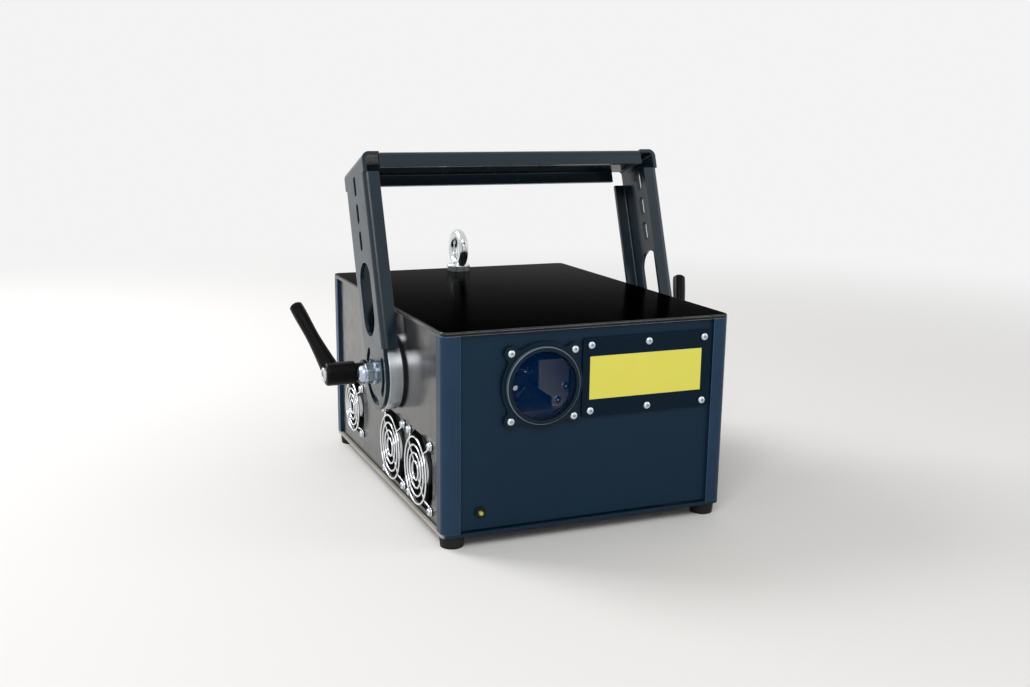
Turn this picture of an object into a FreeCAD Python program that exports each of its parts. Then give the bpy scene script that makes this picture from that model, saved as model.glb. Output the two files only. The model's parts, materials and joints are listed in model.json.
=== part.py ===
import FreeCAD, Part
import math
import os

# Laser show projector: a flat-panelled case on four corner posts, hung in a clamped U-shaped yoke.
# Millimetres. The origin is the middle of the outline on the standing surface, and -Y is the window side.

# General
overrun = 1.0
hole_clearance = 0.1
running_clearance = 0.06
moving_clearance = 0.4

# Case
case_width = 230.0
case_depth = 304.0
case_height = 150.0
corner_radius = 6.0
base_thick = 2.5
cover_thick = 3.0
cover_bevel = 0.8
panel_thick = 2.0
panel_recess = 2.5
panel_slit = 1.2
post_face = 13.5
post_body = 17.0
groove_depth = 4.0

# Feet and the rods that tie feet, base, posts and cover together
foot_height = 9.0
foot_top_radius = 9.5
foot_low_radius = 8.5
foot_seat = 5.0
foot_bore_radius = 4.6
rod_radius = 2.0
rod_head_radius = 3.6
rod_head_height = 3.5
rod_inset = 10.5
rod_thread = 2.0

# Button-head screws
screw_head_radius = 2.9
screw_head_height = 1.8
screw_head_round = 0.9
screw_radius = 1.5
screw_length = 7.0
screw_socket_flat = 2.0
screw_socket_depth = 1.1

# Window
window_x = -39.2
window_drop = 42.5
bezel_radius = 31.6
bezel_plate = 3.0
bezel_ear_spacing = 49.4
bezel_ear_radius = 5.2
bezel_ear_fillet = 4.0
bezel_ring_radius = 28.5
bezel_ring_height = 3.5
bezel_ring_bevel = 1.0
bezel_bore_radius = 25.2
glass_radius = 27.0
glass_thick = 3.0
gasket_thick = 1.0
gasket_width = 2.5

# Cover plate beside the window
plate_window_gap = 0.4
plate_side_gap = 15.4
plate_drop = 40.5
plate_tall = 59.0
plate_thick = 2.0
plate_corner = 2.0
plate_screw_inset = 6.3
plate_screw_rise = 49.0
service_margin = 14.4
service_tall = 36.0
label_left_margin = 5.6
label_right_margin = 8.2
label_tall = 32.0
label_thick = 0.3

# Status lamp
lamp_from_left = 29.1
lamp_height = 16.6
lamp_holder_radius = 4.2
lamp_holder_proud = 1.6
lamp_holder_length = 9.0
lamp_neck_radius = 3.2
lamp_radius = 1.75
lamp_proud = 1.4

# Yoke and its pose in the photograph
pivot_from_front = 120.0
pivot_rise_share = 0.251
yoke_tilt = 19.8
yoke_gap = 13.6
yoke_reach = 169.0
yoke_web = 58.0
yoke_sheet = 3.0
flange_depth = 12.5
flange_bend = 4.5
corner_bend = 6.0
notch_side = 14.0
notch_down = 16.0
flange_foot = 14.5
arm_slot_width = 30.0
arm_slot_low = 29.0
arm_slot_high = 87.5
small_slot_width = 6.0
small_slot_length = 16.0
small_slot_pitch = 22.0
small_slot_count = 3
small_slot_low = 97.0
arc_slot_radius = 22.0
arc_slot_width = 6.6
arc_slot_starts = (166.0, 271.0)
arc_slot_spans = (66.0, 147.0)
clamp_hole_radius = 6.5

# Pivots, from the side panel outwards
pivot_block_wide = 64.0
pivot_block_tall = 44.0
pivot_block_thick = 12.0
friction_ring_radius = 28.0
friction_ring_thick = 1.6
disc_radius = 29.0
disc_bevel = 0.6
stud_radius = 4.0
stud_tail = 1.0
washer_radius = 8.5
washer_thick = 1.6
nut_flat = 14.0
nut_height = 6.8
nut_bevel = 0.8
cap_radius = 6.5
cap_length = 5.4
cap_round = 4.2

# Clamping levers, on studs that stand behind the pivots and pass through the arms' long arc slots
clamp_angle = 9.0
clamp_stud_radius = 3.0
lever_washer_radius = 9.0
lever_washer_gap = 0.05
lever_gap = 0.4
hub_length = 32.9
hub_radius = 9.2
hub_foot_radius = 9.6
hub_foot_length = 2.6
hub_waist_radius = 7.4
hub_waist_length = 6.4
hub_round = 1.2
hub_end_round = 2.4
stud_head_radius = 5.5
stud_head_length = 17.6
hub_shoulder = 3.0
lever_screw_radius = 2.5
lever_screw_head_radius = 5.8
lever_screw_head = 3.2
lever_screw_proud = 1.8
lever_screw_socket_flat = 6.0
spring_inner_radius = 3.1
spring_outer_radius = 4.7
lever_length = 70.0
lever_root_depth = 26.4
lever_lean = 15.0
lever_root_radius = 7.8
lever_shaft_radius = 6.1
lever_neck_radius = 5.2
lever_knob_radius = 5.6
lever_tip_radius = 5.4
lever_shaft_share = 0.3
lever_neck_share = 0.58
lever_knob_share = 0.86
lever_angle_left = 44.5
lever_angle_right = 33.0

# Fans on the left side: two large ones near the front and a smaller one near the rear
fan_side = 60.0
fan_screw_spacing = 50.0
fan_height = 35.2
front_fan_from_front = 57.4
middle_fan_from_front = 123.0
rear_fan_side = 50.0
rear_fan_screw_spacing = 40.0
rear_fan_height = 40.0
rear_fan_from_rear = 65.5
fan_depth = 20.0
fan_wall = 2.0
fan_bore_over_flat_share = 1.1
fan_hub_share = 0.42
fan_tip_gap = 1.2
fan_cup_thick = 3.0
fan_hub_gap = 0.6
fan_axle_radius = 1.5
fan_strut_width = 3.5
fan_blade_count = 7
fan_blade_thick = 1.2
fan_blade_pitch = 40.0
fan_blade_chord = 13.0

# Wire finger guards
guard_wire_radius = 0.8
guard_standoff = 4.2
guard_outer_share = 0.425
guard_ring_shares = (1.0, 0.76, 0.52, 0.28)
guard_weld = 1.1
guard_loop_radius = 2.7
guard_leg_bend_share = 1.03

# Lifting eye
eye_from_rear = 19.0
eye_angle = 0.0
eye_ring_radius = 14.0
eye_wire_radius = 4.4
eye_rise = 20.1
eye_collar_radius = 11.0
eye_collar_height = 6.3
eye_collar_round = 1.5
eye_neck_radius = 6.5
eye_shank_radius = 4.0
eye_shank_length = 15.0
eye_nut_flat = 13.0
eye_nut_height = 6.5

# Optics plate on pillars
optics_front = 26.0
optics_thick = 8.0
optics_gap = 1.5
pillar_radius = 5.0
pillar_inset = 8.0

# Scanner: two galvanometer motors in one block
beam_drop = 14.0
beam_rise = 12.5
scan_depth = 45.0
galvo_radius = 7.0
galvo_length = 32.0
galvo_gap = 13.2
galvo_shaft_radius = 1.5
galvo_shaft_sink = 8.0
galvo_wall = 2.6
scan_wall = 24.0
scan_leg_set = 11.4
scan_notch_low = 6.8
scan_notch_high = 14.8
scan_screw_places = ((20.8, 15.6), (14.6, 5.4))
scan_screw_length = 5.0
beam_hole_radius = 3.5
mirror_wide = 13.0
mirror_tall = 9.0
mirror_thick = 1.4
mirror_tilt = 45.0
mirror_clip_radius = 2.4

# Laser modules and beam mirrors
laser_count = 3
laser_first_x = 14.0
laser_space = 4.0
laser_side_gap = 11.5
laser_length = 84.0
laser_from_front = 78.0
laser_tall = 26.0
laser_nose_radius = 5.0
laser_nose_length = 4.0
mount_side = 16.0
mount_foot = 4.0
mount_plate = 3.0
mount_tall = 20.0

# Electronics on the base plate
wiring_gap = 4.0
supply_side_gap = 12.5
supply_gap = 2.0
supply_length = 120.0
supply_tall = 40.0
board_side_gap = 16.5
board_fronts = (112.0, 20.0)
board_lengths = (100.0, 64.0)
sink_tall = 12.0
board_thick = 1.6
chip_tall = 9.0
chip_shares = (0.22, 0.5, 0.78)
chip_size_share = 0.16
board_overhang = 3.0

# Rear panel fittings
inlet_x_share = 0.6
inlet_height = 44.0
inlet_width = 32.0
inlet_tall = 60.0
inlet_flange = 3.0
inlet_rim = 2.5
inlet_body = 24.0
socket_wide = 25.0
socket_tall = 17.5
socket_deep = 16.0
socket_rise_share = -0.22
pin_wide = 5.0
pin_thick = 2.0
pin_length = 11.0
pin_pitch = 7.0
pin_rise = 3.0
rocker_rise_share = 0.28
rocker_wide = 19.0
rocker_tall = 12.4
rocker_deep = 8.0
rocker_room = 1.6
rocker_trunnion_radius = 1.2
rocker_trunnion = 1.5
rocker_angle = 8.0
rocker_proud = 1.5
key_x_share = 0.6
key_drop = 36.0
key_flange_radius = 10.0
key_flange = 2.5
key_body_radius = 8.0
key_body_length = 20.0
key_barrel_radius = 6.0
key_barrel_proud = 1.2
key_slot_wide = 7.0
key_slot_thick = 2.2
key_slot_deep = 6.0
signal_x_shares = (-0.6, 0.03)
signal_height = 38.0
signal_wide = 53.0
signal_tall = 12.5
signal_flange = 1.2
signal_shell_wide = 38.5
signal_shell_tall = 8.4
signal_shell = 5.5
signal_shell_slant = 1.4
signal_body = 9.0
signal_pin_pitch = 2.76
signal_pin_radius = 0.6
signal_row_counts = (13, 12)
signal_screw_span = 47.0
hex_post_flat = 5.0
hex_post_length = 4.5
interlock_x_share = -0.28
interlock_drop = 36.0
interlock_wide = 26.0
interlock_tall = 31.0
interlock_flange = 2.5
interlock_radius = 9.6
interlock_proud = 2.0
interlock_body = 16.0
interlock_pin_radius = 1.7
interlock_pin_circle = 4.6
interlock_screw_wide = 19.0
interlock_screw_rise = 24.0

# Air outlet in the right panel
vent_width = 4.0
vent_length = 46.0
vent_pitch = 9.0
vent_count = 7
vent_from_front = 26.0
vent_from_rear = 72.0
vent_low = 16.0

# Planes worked out from the sizes above
ring_front_proud = bezel_plate + bezel_ring_height - panel_recess
rear_proud = signal_flange + signal_shell - panel_recess
case_shift = (ring_front_proud - rear_proud) / 2
left_face = -case_width / 2
front_face = case_shift - case_depth / 2
rear_face = case_shift + case_depth / 2
base_low = foot_height
base_top = base_low + base_thick
cover_top = base_low + case_height
cover_low = cover_top - cover_thick
panel_low = base_top + panel_slit
front_outer = front_face + panel_recess
front_inner = front_outer + panel_thick
rear_outer = rear_face - panel_recess
rear_inner = rear_outer - panel_thick
side_outer = case_width / 2 - panel_recess
side_inner = side_outer - panel_thick
post_cover = post_face - groove_depth
panel_half_width = case_width / 2 - post_cover
panel_front_edge = front_face + post_cover
panel_rear_edge = rear_face - post_cover
pivot_y = front_face + pivot_from_front
guard_top = base_low + fan_height + fan_side * guard_outer_share + guard_wire_radius
pivot_room = cover_low - guard_top - 2 * disc_radius
pivot_z = guard_top + disc_radius + pivot_room * pivot_rise_share
clamp_y = pivot_y + arc_slot_radius * math.cos(math.radians(clamp_angle))
clamp_z = pivot_z - arc_slot_radius * math.sin(math.radians(clamp_angle))
yoke_half = case_width / 2 + yoke_gap
yoke_inner = yoke_half - yoke_sheet
window_z = cover_top - window_drop
plate_z = cover_top - plate_drop
plate_left = window_x + bezel_radius + plate_window_gap
plate_right = case_width / 2 - plate_side_gap
plate_width = plate_right - plate_left
plate_x = (plate_left + plate_right) / 2
plate_screw_span = plate_width - 2 * plate_screw_inset
service_width = plate_width - 2 * service_margin
lamp_x = left_face + lamp_from_left
beam_z = window_z - beam_drop
optics_top = beam_z - beam_rise
optics_low = optics_top - optics_thick
optics_half = side_inner - fan_depth - optics_gap
optics_rear = rear_outer - inlet_body - optics_gap
pillar_x = optics_half - pillar_inset
pillar_ys = (front_face + optics_front + pillar_inset, optics_rear - pillar_inset)
scan_y = front_face + scan_depth
laser_right = side_inner - pivot_block_thick - laser_side_gap
laser_pitch = (2 * (laser_right - laser_first_x) + laser_space) / (2 * laser_count - 1)
laser_width = laser_pitch - laser_space
laser_xs = [laser_first_x + k * laser_pitch for k in range(laser_count)]
supply_width = side_inner - supply_side_gap - wiring_gap / 2
supply_x = (supply_width + wiring_gap) / 2
board_width = side_inner - fan_depth - board_side_gap - wiring_gap / 2
board_x = (board_width + wiring_gap) / 2
inlet_x = panel_half_width * inlet_x_share
key_x = panel_half_width * key_x_share
signal_xs = [panel_half_width * share for share in signal_x_shares]
interlock_x = panel_half_width * interlock_x_share

axis_x = FreeCAD.Vector(1, 0, 0)
axis_y = FreeCAD.Vector(0, 1, 0)
axis_z = FreeCAD.Vector(0, 0, 1)
centre = FreeCAD.Vector(0, 0, 0)


def point(x, y, z):
    return FreeCAD.Vector(x, y, z)


def block(xs, ys, zs):
    return Part.makeBox(xs[1] - xs[0], ys[1] - ys[0], zs[1] - zs[0], point(xs[0], ys[0], zs[0]))


def spread(middle, size):
    return (middle - size / 2, middle + size / 2)


def rod(radius, start, end):
    return Part.makeCylinder(radius, (end - start).Length, start, end - start)


def tube(outer, inner, start, end):
    reach = (end - start).normalize() * overrun
    return rod(outer, start, end).cut(rod(inner, start - reach, end + reach))


def prism(corners, sweep):
    return Part.Face(Part.makePolygon(corners + corners[:1])).extrude(sweep)


def hexagon(flat, height):
    radius = flat / 2 / math.cos(math.radians(30))
    turns = [math.radians(60 * k) for k in range(6)]
    return prism([point(radius * math.cos(t), radius * math.sin(t), 0) for t in turns], axis_z * height)


def rounded(shape, radius, chosen):
    return shape.makeFillet(radius, [edge for edge in shape.Edges if chosen(edge)])


def along(edge, axis):
    ends = [v.Point for v in edge.Vertexes]
    return len(ends) == 2 and (ends[1] - ends[0]).cross(axis).Length < hole_clearance


def placed(shape, position, direction):
    copy = shape.copy()
    copy.Placement = FreeCAD.Placement(position, FreeCAD.Rotation(axis_z, direction))
    return copy


def mirrored(shape):
    return shape.mirror(centre, axis_x)


def upright_slot(xs, y, low, high, width):
    ends = (low + width / 2, high - width / 2)
    slot = block(xs, spread(y, width), ends)
    return slot.multiFuse([rod(width / 2, point(xs[0], y, z), point(xs[1], y, z)) for z in ends])


def save(name, shape):
    shape.exportStep("parts/" + name + ".step")
    print(name, len(shape.Solids), "solids", round(shape.Volume), "mm3",
          "valid" if shape.isValid() else "INVALID")


def group(name, shapes):
    save(name, Part.makeCompound(shapes))


def button_screw(length):
    head = Part.makeCylinder(screw_head_radius, screw_head_height)
    head = rounded(head, screw_head_round,
                   lambda e: len(e.Vertexes) == 1 and e.Vertexes[0].Z > screw_head_round)
    socket = hexagon(screw_socket_flat, screw_socket_depth)
    socket.translate(axis_z * (screw_head_height - screw_socket_depth))
    shank = Part.makeCylinder(screw_radius, length, axis_z * -length)
    return head.cut(socket).fuse(shank).removeSplitter()


def hex_nut(flat, height, bore, bevel):
    body = hexagon(flat, height)
    corner = flat / 2 / math.cos(math.radians(30))
    shaper = Part.makeCylinder(corner, height)
    shaper = shaper.makeChamfer(bevel, [e for e in shaper.Edges if len(e.Vertexes) == 1])
    return body.common(shaper).cut(Part.makeCylinder(bore, height + 2 * overrun, axis_z * -overrun))


# Case corners, as side and front signs
corner_signs = [(-1, -1), (1, -1), (1, 1), (-1, 1)]


def rod_places():
    y_half = case_depth / 2 - rod_inset
    return [(sx * (case_width / 2 - rod_inset), case_shift + sy * y_half) for sx, sy in corner_signs]


def case_plate(low, high):
    plate = block((left_face, -left_face), (front_face, rear_face), (low, high))
    return rounded(plate, corner_radius, lambda e: along(e, axis_z))


def build_base():
    base = case_plate(base_low, base_top)
    for x, y in rod_places():
        base = base.cut(rod(rod_radius + hole_clearance, point(x, y, 0), point(x, y, cover_low)))
    save("base_plate", base)


def build_cover():
    cover = case_plate(cover_low, cover_top)
    cover = cover.makeChamfer(cover_bevel,
                              [e for e in cover.Edges if min(v.Z for v in e.Vertexes) > cover_low])
    for x, y in rod_places():
        cover = cover.cut(rod(rod_radius + hole_clearance, point(x, y, base_low),
                              point(x, y, cover_low + rod_thread)))
    eye_y = rear_face - eye_from_rear
    cover = cover.cut(rod(eye_shank_radius + hole_clearance, point(0, eye_y, base_low),
                          point(0, eye_y, cover_top + overrun)))
    save("top_cover", cover)


# One post stands in the front left corner and is mirrored to the other three.
def corner_post():
    zs = (base_top, cover_low)
    post = block((left_face, left_face + post_body), (front_face, front_face + post_body), zs)
    outer = point(left_face, front_face, 0)
    post = rounded(post, corner_radius,
                   lambda e: along(e, axis_z) and e.Vertexes[0].Point.distanceToPoint(
                       point(outer.x, outer.y, e.Vertexes[0].Z)) < hole_clearance)
    lip = (post_face, post_body + overrun)
    groove = (post_cover, post_body + overrun)
    depth_of_lip = (-overrun, panel_recess)
    depth_of_groove = (panel_recess, panel_recess + panel_thick)
    for run, depth in ((lip, depth_of_lip), (groove, depth_of_groove)):
        across = [left_face + u for u in run]
        inward = [front_face + u for u in depth]
        post = post.cut(block(across, inward, (0, cover_top)))
        across = [left_face + u for u in depth]
        inward = [front_face + u for u in run]
        post = post.cut(block(across, inward, (0, cover_top)))
    x = left_face + rod_inset
    y = front_face + rod_inset
    return post.cut(rod(rod_radius + hole_clearance, point(x, y, 0), point(x, y, cover_top)))


def build_posts():
    front_left = corner_post()
    middle = point(0, case_shift, 0)
    rear_left = front_left.mirror(middle, axis_y)
    group("corner_posts", [front_left, mirrored(front_left), mirrored(rear_left), rear_left])


def build_feet():
    feet = []
    rods = []
    for x, y in rod_places():
        foot = Part.makeCone(foot_low_radius, foot_top_radius, foot_height, point(x, y, 0))
        foot = foot.cut(rod(foot_bore_radius, point(x, y, -overrun), point(x, y, foot_seat)))
        feet.append(foot.cut(rod(rod_radius + hole_clearance, point(x, y, 0), point(x, y, cover_top))))
        head = rod(rod_head_radius, point(x, y, foot_seat - rod_head_height), point(x, y, foot_seat))
        shank = rod(rod_radius, point(x, y, foot_seat), point(x, y, cover_low + rod_thread))
        rods.append(head.fuse(shank).removeSplitter())
    group("rubber_feet", feet)
    group("tie_rods", rods)


def ear_places():
    half = bezel_ear_spacing / 2
    return [(window_x + sx * half, window_z + sz * half) for sx, sz in corner_signs]


def plate_screw_places():
    half_rise = plate_screw_rise / 2
    columns = [plate_x + k * plate_screw_span / 2 for k in (-1, 0, 1)]
    return [(x, plate_z + k * half_rise) for x in columns for k in (-1, 1)]


def front_rod(radius, x, z, front, back):
    return rod(radius, point(x, front, z), point(x, back, z))


def build_front_panel():
    panel = block((-panel_half_width, panel_half_width), (front_outer, front_inner), (panel_low, cover_low))
    ahead = front_outer - overrun
    behind = front_inner + overrun
    panel = panel.cut(front_rod(glass_radius - gasket_width, window_x, window_z, ahead, behind))
    panel = panel.cut(block(spread(plate_x, service_width), (ahead, behind), spread(plate_z, service_tall)))
    panel = panel.cut(front_rod(lamp_neck_radius + hole_clearance, lamp_x, base_low + lamp_height, ahead,
                                behind))
    for x, z in ear_places() + plate_screw_places():
        panel = panel.cut(front_rod(screw_radius + hole_clearance, x, z, ahead, behind))
    save("front_panel", panel)


def build_window():
    front = front_outer - bezel_plate
    bezel = front_rod(bezel_radius, window_x, window_z, front, front_outer)
    for x, z in ear_places():
        bezel = bezel.fuse(front_rod(bezel_ear_radius, x, z, front, front_outer))
    bezel = bezel.removeSplitter()
    bezel = rounded(bezel, bezel_ear_fillet, lambda e: along(e, axis_y) and is_inward_corner(e))
    ring = front_rod(bezel_ring_radius, window_x, window_z, front - bezel_ring_height, front)
    lip = front - bezel_ring_bevel
    ring = ring.makeChamfer(bezel_ring_bevel,
                            [e for e in ring.Edges if len(e.Vertexes) == 1 and e.Vertexes[0].Y < lip])
    bezel = bezel.fuse(ring).removeSplitter()
    seat = front_outer - glass_thick - gasket_thick
    bezel = bezel.cut(front_rod(glass_radius + hole_clearance, window_x, window_z, seat,
                                front_outer + overrun))
    bezel = bezel.cut(front_rod(bezel_bore_radius, window_x, window_z, front - bezel_ring_height - overrun,
                                seat + overrun))
    for x, z in ear_places():
        bezel = bezel.cut(front_rod(screw_radius + hole_clearance, x, z, front - overrun,
                                    front_outer + overrun))
    save("window_bezel", bezel)
    save("window_glass", front_rod(glass_radius, window_x, window_z, seat, seat + glass_thick))
    save("window_gasket", tube(glass_radius, glass_radius - gasket_width,
                               point(window_x, seat + glass_thick, window_z),
                               point(window_x, front_outer, window_z)))
    screw = button_screw(screw_length)
    group("bezel_screws", [placed(screw, point(x, front, z), -axis_y) for x, z in ear_places()])


# The corners where the ears run into the round plate lie nearer the middle than the ears do.
def is_inward_corner(edge):
    spot = edge.Vertexes[0].Point
    return math.hypot(spot.x - window_x, spot.z - window_z) < bezel_radius + hole_clearance


def build_cover_plate():
    front = front_outer - plate_thick
    plate = block(spread(plate_x, plate_width), (front, front_outer), spread(plate_z, plate_tall))
    plate = rounded(plate, plate_corner, lambda e: along(e, axis_y))
    for x, z in plate_screw_places():
        plate = plate.cut(front_rod(screw_radius + hole_clearance, x, z, front - overrun,
                                    front_outer + overrun))
    save("cover_plate", plate)
    screw = button_screw(screw_length)
    group("cover_screws", [placed(screw, point(x, front, z), -axis_y) for x, z in plate_screw_places()])
    save("blank_label",
         block((plate_left + label_left_margin, plate_right - label_right_margin),
               (front - label_thick, front), spread(plate_z, label_tall)))


def build_lamp():
    z = base_low + lamp_height
    front = front_outer - lamp_holder_proud
    holder = front_rod(lamp_holder_radius, lamp_x, z, front, front_outer)
    holder = holder.fuse(front_rod(lamp_neck_radius, lamp_x, z, front_outer, front + lamp_holder_length))
    holder = holder.removeSplitter()
    holder = holder.cut(front_rod(lamp_radius + hole_clearance, lamp_x, z, front - overrun,
                                  front + lamp_holder_length + overrun))
    save("led_holder", holder)
    lens_end = front - lamp_proud
    lens = front_rod(lamp_radius, lamp_x, z, lens_end, front + lamp_holder_length)
    dome = Part.makeSphere(lamp_radius, point(lamp_x, lens_end, z))
    keep = front_rod(lamp_radius, lamp_x, z, lens_end - lamp_radius, lens_end)
    save("status_led", lens.fuse(dome.common(keep)).removeSplitter())


# Each fan: name, place along the side, height of its middle, frame side, screw spacing
fans = [("front", front_face + front_fan_from_front, base_low + fan_height, fan_side, fan_screw_spacing),
        ("middle", front_face + middle_fan_from_front, base_low + fan_height, fan_side, fan_screw_spacing),
        ("rear", rear_face - rear_fan_from_rear, base_low + rear_fan_height, rear_fan_side,
         rear_fan_screw_spacing)]


def fan_screw_spots(y, z, spacing):
    return [(y + sy * spacing / 2, z + sz * spacing / 2) for sy, sz in corner_signs]


# A fan's air opening is a circle with four flats.
def fan_opening(side, xs, y, z):
    flat = side - 2 * fan_wall
    square = block(xs, spread(y, flat), spread(z, flat))
    return square.common(rod(flat / 2 * fan_bore_over_flat_share, point(xs[0], y, z), point(xs[1], y, z)))


def build_side_panels():
    through = (side_inner - overrun, side_outer + overrun)
    panel = block((side_inner, side_outer), (panel_front_edge, panel_rear_edge), (panel_low, cover_low))
    panel = panel.cut(pivot_rod(stud_radius + moving_clearance, *through))
    panel = panel.cut(clamp_rod(clamp_stud_radius + moving_clearance, *through))
    left = mirrored(panel)
    left_through = (-through[1], -through[0])
    for name, y, z, side, spacing in fans:
        left = left.cut(fan_opening(side, left_through, y, z))
        for sy, sz in fan_screw_spots(y, z, spacing):
            left = left.cut(rod(screw_radius + hole_clearance, point(left_through[0], sy, sz),
                                point(left_through[1], sy, sz)))
    save("left_panel", left)
    low = base_low + vent_low
    for start, step in ((front_face + vent_from_front, vent_pitch),
                        (rear_face - vent_from_rear, -vent_pitch)):
        for k in range(vent_count):
            panel = panel.cut(upright_slot(through, start + k * step, low, low + vent_length, vent_width))
    save("right_panel", panel)


# A fan is drawn about the origin with its outer face at zero, then moved to its place.
def fan_frame(side, spacing):
    frame = block((0, fan_depth), spread(0, side), spread(0, side))
    frame = frame.cut(fan_opening(side, (-overrun, fan_depth + overrun), 0, 0))
    cup_face = fan_depth - fan_cup_thick
    spokes = [block((cup_face, fan_depth), spread(0, side - fan_wall), spread(0, fan_strut_width)),
              block((cup_face, fan_depth), spread(0, fan_strut_width), spread(0, side - fan_wall)),
              rod(side * fan_hub_share / 2, axis_x * cup_face, axis_x * fan_depth),
              rod(fan_axle_radius, axis_x * fan_cup_thick, axis_x * (cup_face + overrun))]
    frame = frame.multiFuse(spokes).removeSplitter()
    for y, z in fan_screw_spots(0, 0, spacing):
        hole = rod(screw_radius + hole_clearance, point(-overrun, y, z), point(fan_depth + overrun, y, z))
        frame = frame.cut(hole)
    return frame


def fan_rotor(side):
    hub = side * fan_hub_share / 2
    tip = side / 2 - fan_wall - fan_tip_gap
    low = axis_x * fan_hub_gap
    high = axis_x * (fan_depth - fan_cup_thick - fan_hub_gap)
    sweep = tube(tip, hub - overrun, low, high)
    blades = []
    for k in range(fan_blade_count):
        blade = block(spread(0, fan_blade_chord), spread(0, fan_blade_thick), (0, side))
        blade.rotate(centre, axis_z, fan_blade_pitch)
        blade.rotate(centre, axis_x, 360 * k / fan_blade_count)
        blade.translate((low + high) / 2)
        blades.append(blade.common(sweep))
    bore = rod(fan_axle_radius + running_clearance, axis_x * (fan_cup_thick - fan_hub_gap),
               axis_x * fan_depth)
    return rod(hub, low, high).multiFuse(blades).cut(bore).removeSplitter()


def build_fans():
    frames = []
    for name, y, z, side, spacing in fans:
        place = point(-side_inner, y, z)
        frames.append(fan_frame(side, spacing).translated(place))
        save("fan_rotor_" + name, fan_rotor(side).translated(place))
    group("fan_frames", frames)


# A guard's rings stand off the panel; four legs run out to loops under the screws.
def wire_guard(side, spacing):
    wire = guard_wire_radius
    outer_radius = side * guard_outer_share
    rings = []
    for share in guard_ring_shares:
        rings.append(Part.makeTorus(outer_radius * share, wire, axis_z * guard_standoff))
    level = guard_standoff - guard_weld
    loop_x = math.hypot(spacing / 2, spacing / 2)
    bend_x = outer_radius * guard_leg_bend_share
    heel_x = loop_x - guard_loop_radius - 2 * wire
    pieces = []
    for k in range(4):
        bend = point(bend_x, 0, level)
        heel = point(heel_x, 0, wire)
        leg = [rod(wire, point(outer_radius * guard_ring_shares[-1] - wire, 0, level), bend),
               Part.makeSphere(wire, bend),
               rod(wire, bend, heel),
               Part.makeSphere(wire, heel),
               rod(wire, heel, point(loop_x - guard_loop_radius, 0, wire)),
               Part.makeTorus(guard_loop_radius, wire, point(loop_x, 0, wire))]
        for piece in leg:
            piece.rotate(centre, axis_z, 45 + 90 * k)
        pieces += leg
    return rings[0].multiFuse(rings[1:] + pieces).removeSplitter()


def build_guards():
    guards = []
    screws = []
    screw = button_screw(screw_length + fan_wall)
    seat = -side_outer - 2 * guard_wire_radius
    for name, y, z, side, spacing in fans:
        guards.append(placed(wire_guard(side, spacing), point(-side_outer, y, z), -axis_x))
        for sy, sz in fan_screw_spots(y, z, spacing):
            screws.append(placed(screw, point(seat, sy, sz), -axis_x))
    group("fan_guards", guards)
    group("fan_screws", screws)


# The yoke is bent from one sheet. It is drawn upright about its pivot and then tilted.
def channel(outer_block, inner_block, axis, bent):
    outside = rounded(outer_block, flange_bend, lambda e: along(e, axis) and bent(e.Vertexes[0].Point, 0))
    inside = rounded(inner_block, flange_bend - yoke_sheet,
                     lambda e: along(e, axis) and bent(e.Vertexes[0].Point, yoke_sheet))
    return outside.cut(inside)


def yoke_arm():
    half = yoke_web / 2
    zs = (flange_foot, yoke_reach - notch_down)
    outside = block((yoke_half - flange_depth, yoke_half), (-half, half), zs)
    inside = block((yoke_half - flange_depth - overrun, yoke_inner), (yoke_sheet - half, half - yoke_sheet),
                   (zs[0] - overrun, zs[1] + overrun))
    arm = channel(outside, inside, axis_z, lambda p, inset: p.x > yoke_half - inset - hole_clearance)
    end = block((yoke_inner, yoke_half), (-half, half), (0, flange_foot))
    return arm.multiFuse([end, rod(half, point(yoke_inner, 0, 0), point(yoke_half, 0, 0))])


def yoke_corner():
    half = yoke_web / 2
    outside = block((-yoke_half, yoke_half), (-half, half), (0, yoke_reach))
    outside = rounded(outside, corner_bend,
                      lambda e: along(e, axis_y) and e.Vertexes[0].Z > yoke_reach - overrun)
    roof = yoke_reach - yoke_sheet
    inside = block((-yoke_inner, yoke_inner), (-half - overrun, half + overrun), (-overrun, roof))
    inside = rounded(inside, corner_bend - yoke_sheet,
                     lambda e: along(e, axis_y) and e.Vertexes[0].Z > roof - overrun)
    zone = block((yoke_half - notch_side, yoke_half), (-half, half), (yoke_reach - notch_down, yoke_reach))
    return outside.cut(inside).common(zone)


def arc_slot(start, span):
    xs = (yoke_inner - overrun, yoke_half + overrun)
    low = arc_slot_radius - arc_slot_width / 2
    high = arc_slot_radius + arc_slot_width / 2
    section = [point(xs[0], 0, low), point(xs[1], 0, low), point(xs[1], 0, high), point(xs[0], 0, high)]
    slot = Part.Face(Part.makePolygon(section + section[:1])).revolve(centre, axis_x, span)
    end = rod(arc_slot_width / 2, point(xs[0], 0, arc_slot_radius), point(xs[1], 0, arc_slot_radius))
    far_end = end.copy()
    far_end.rotate(centre, axis_x, span)
    slot = slot.multiFuse([end, far_end])
    slot.rotate(centre, axis_x, start - 90)
    return slot


def yoke_pose(shape, angle):
    shape.rotate(centre, axis_x, -angle)
    shape.translate(point(0, pivot_y, pivot_z))
    return shape


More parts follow.
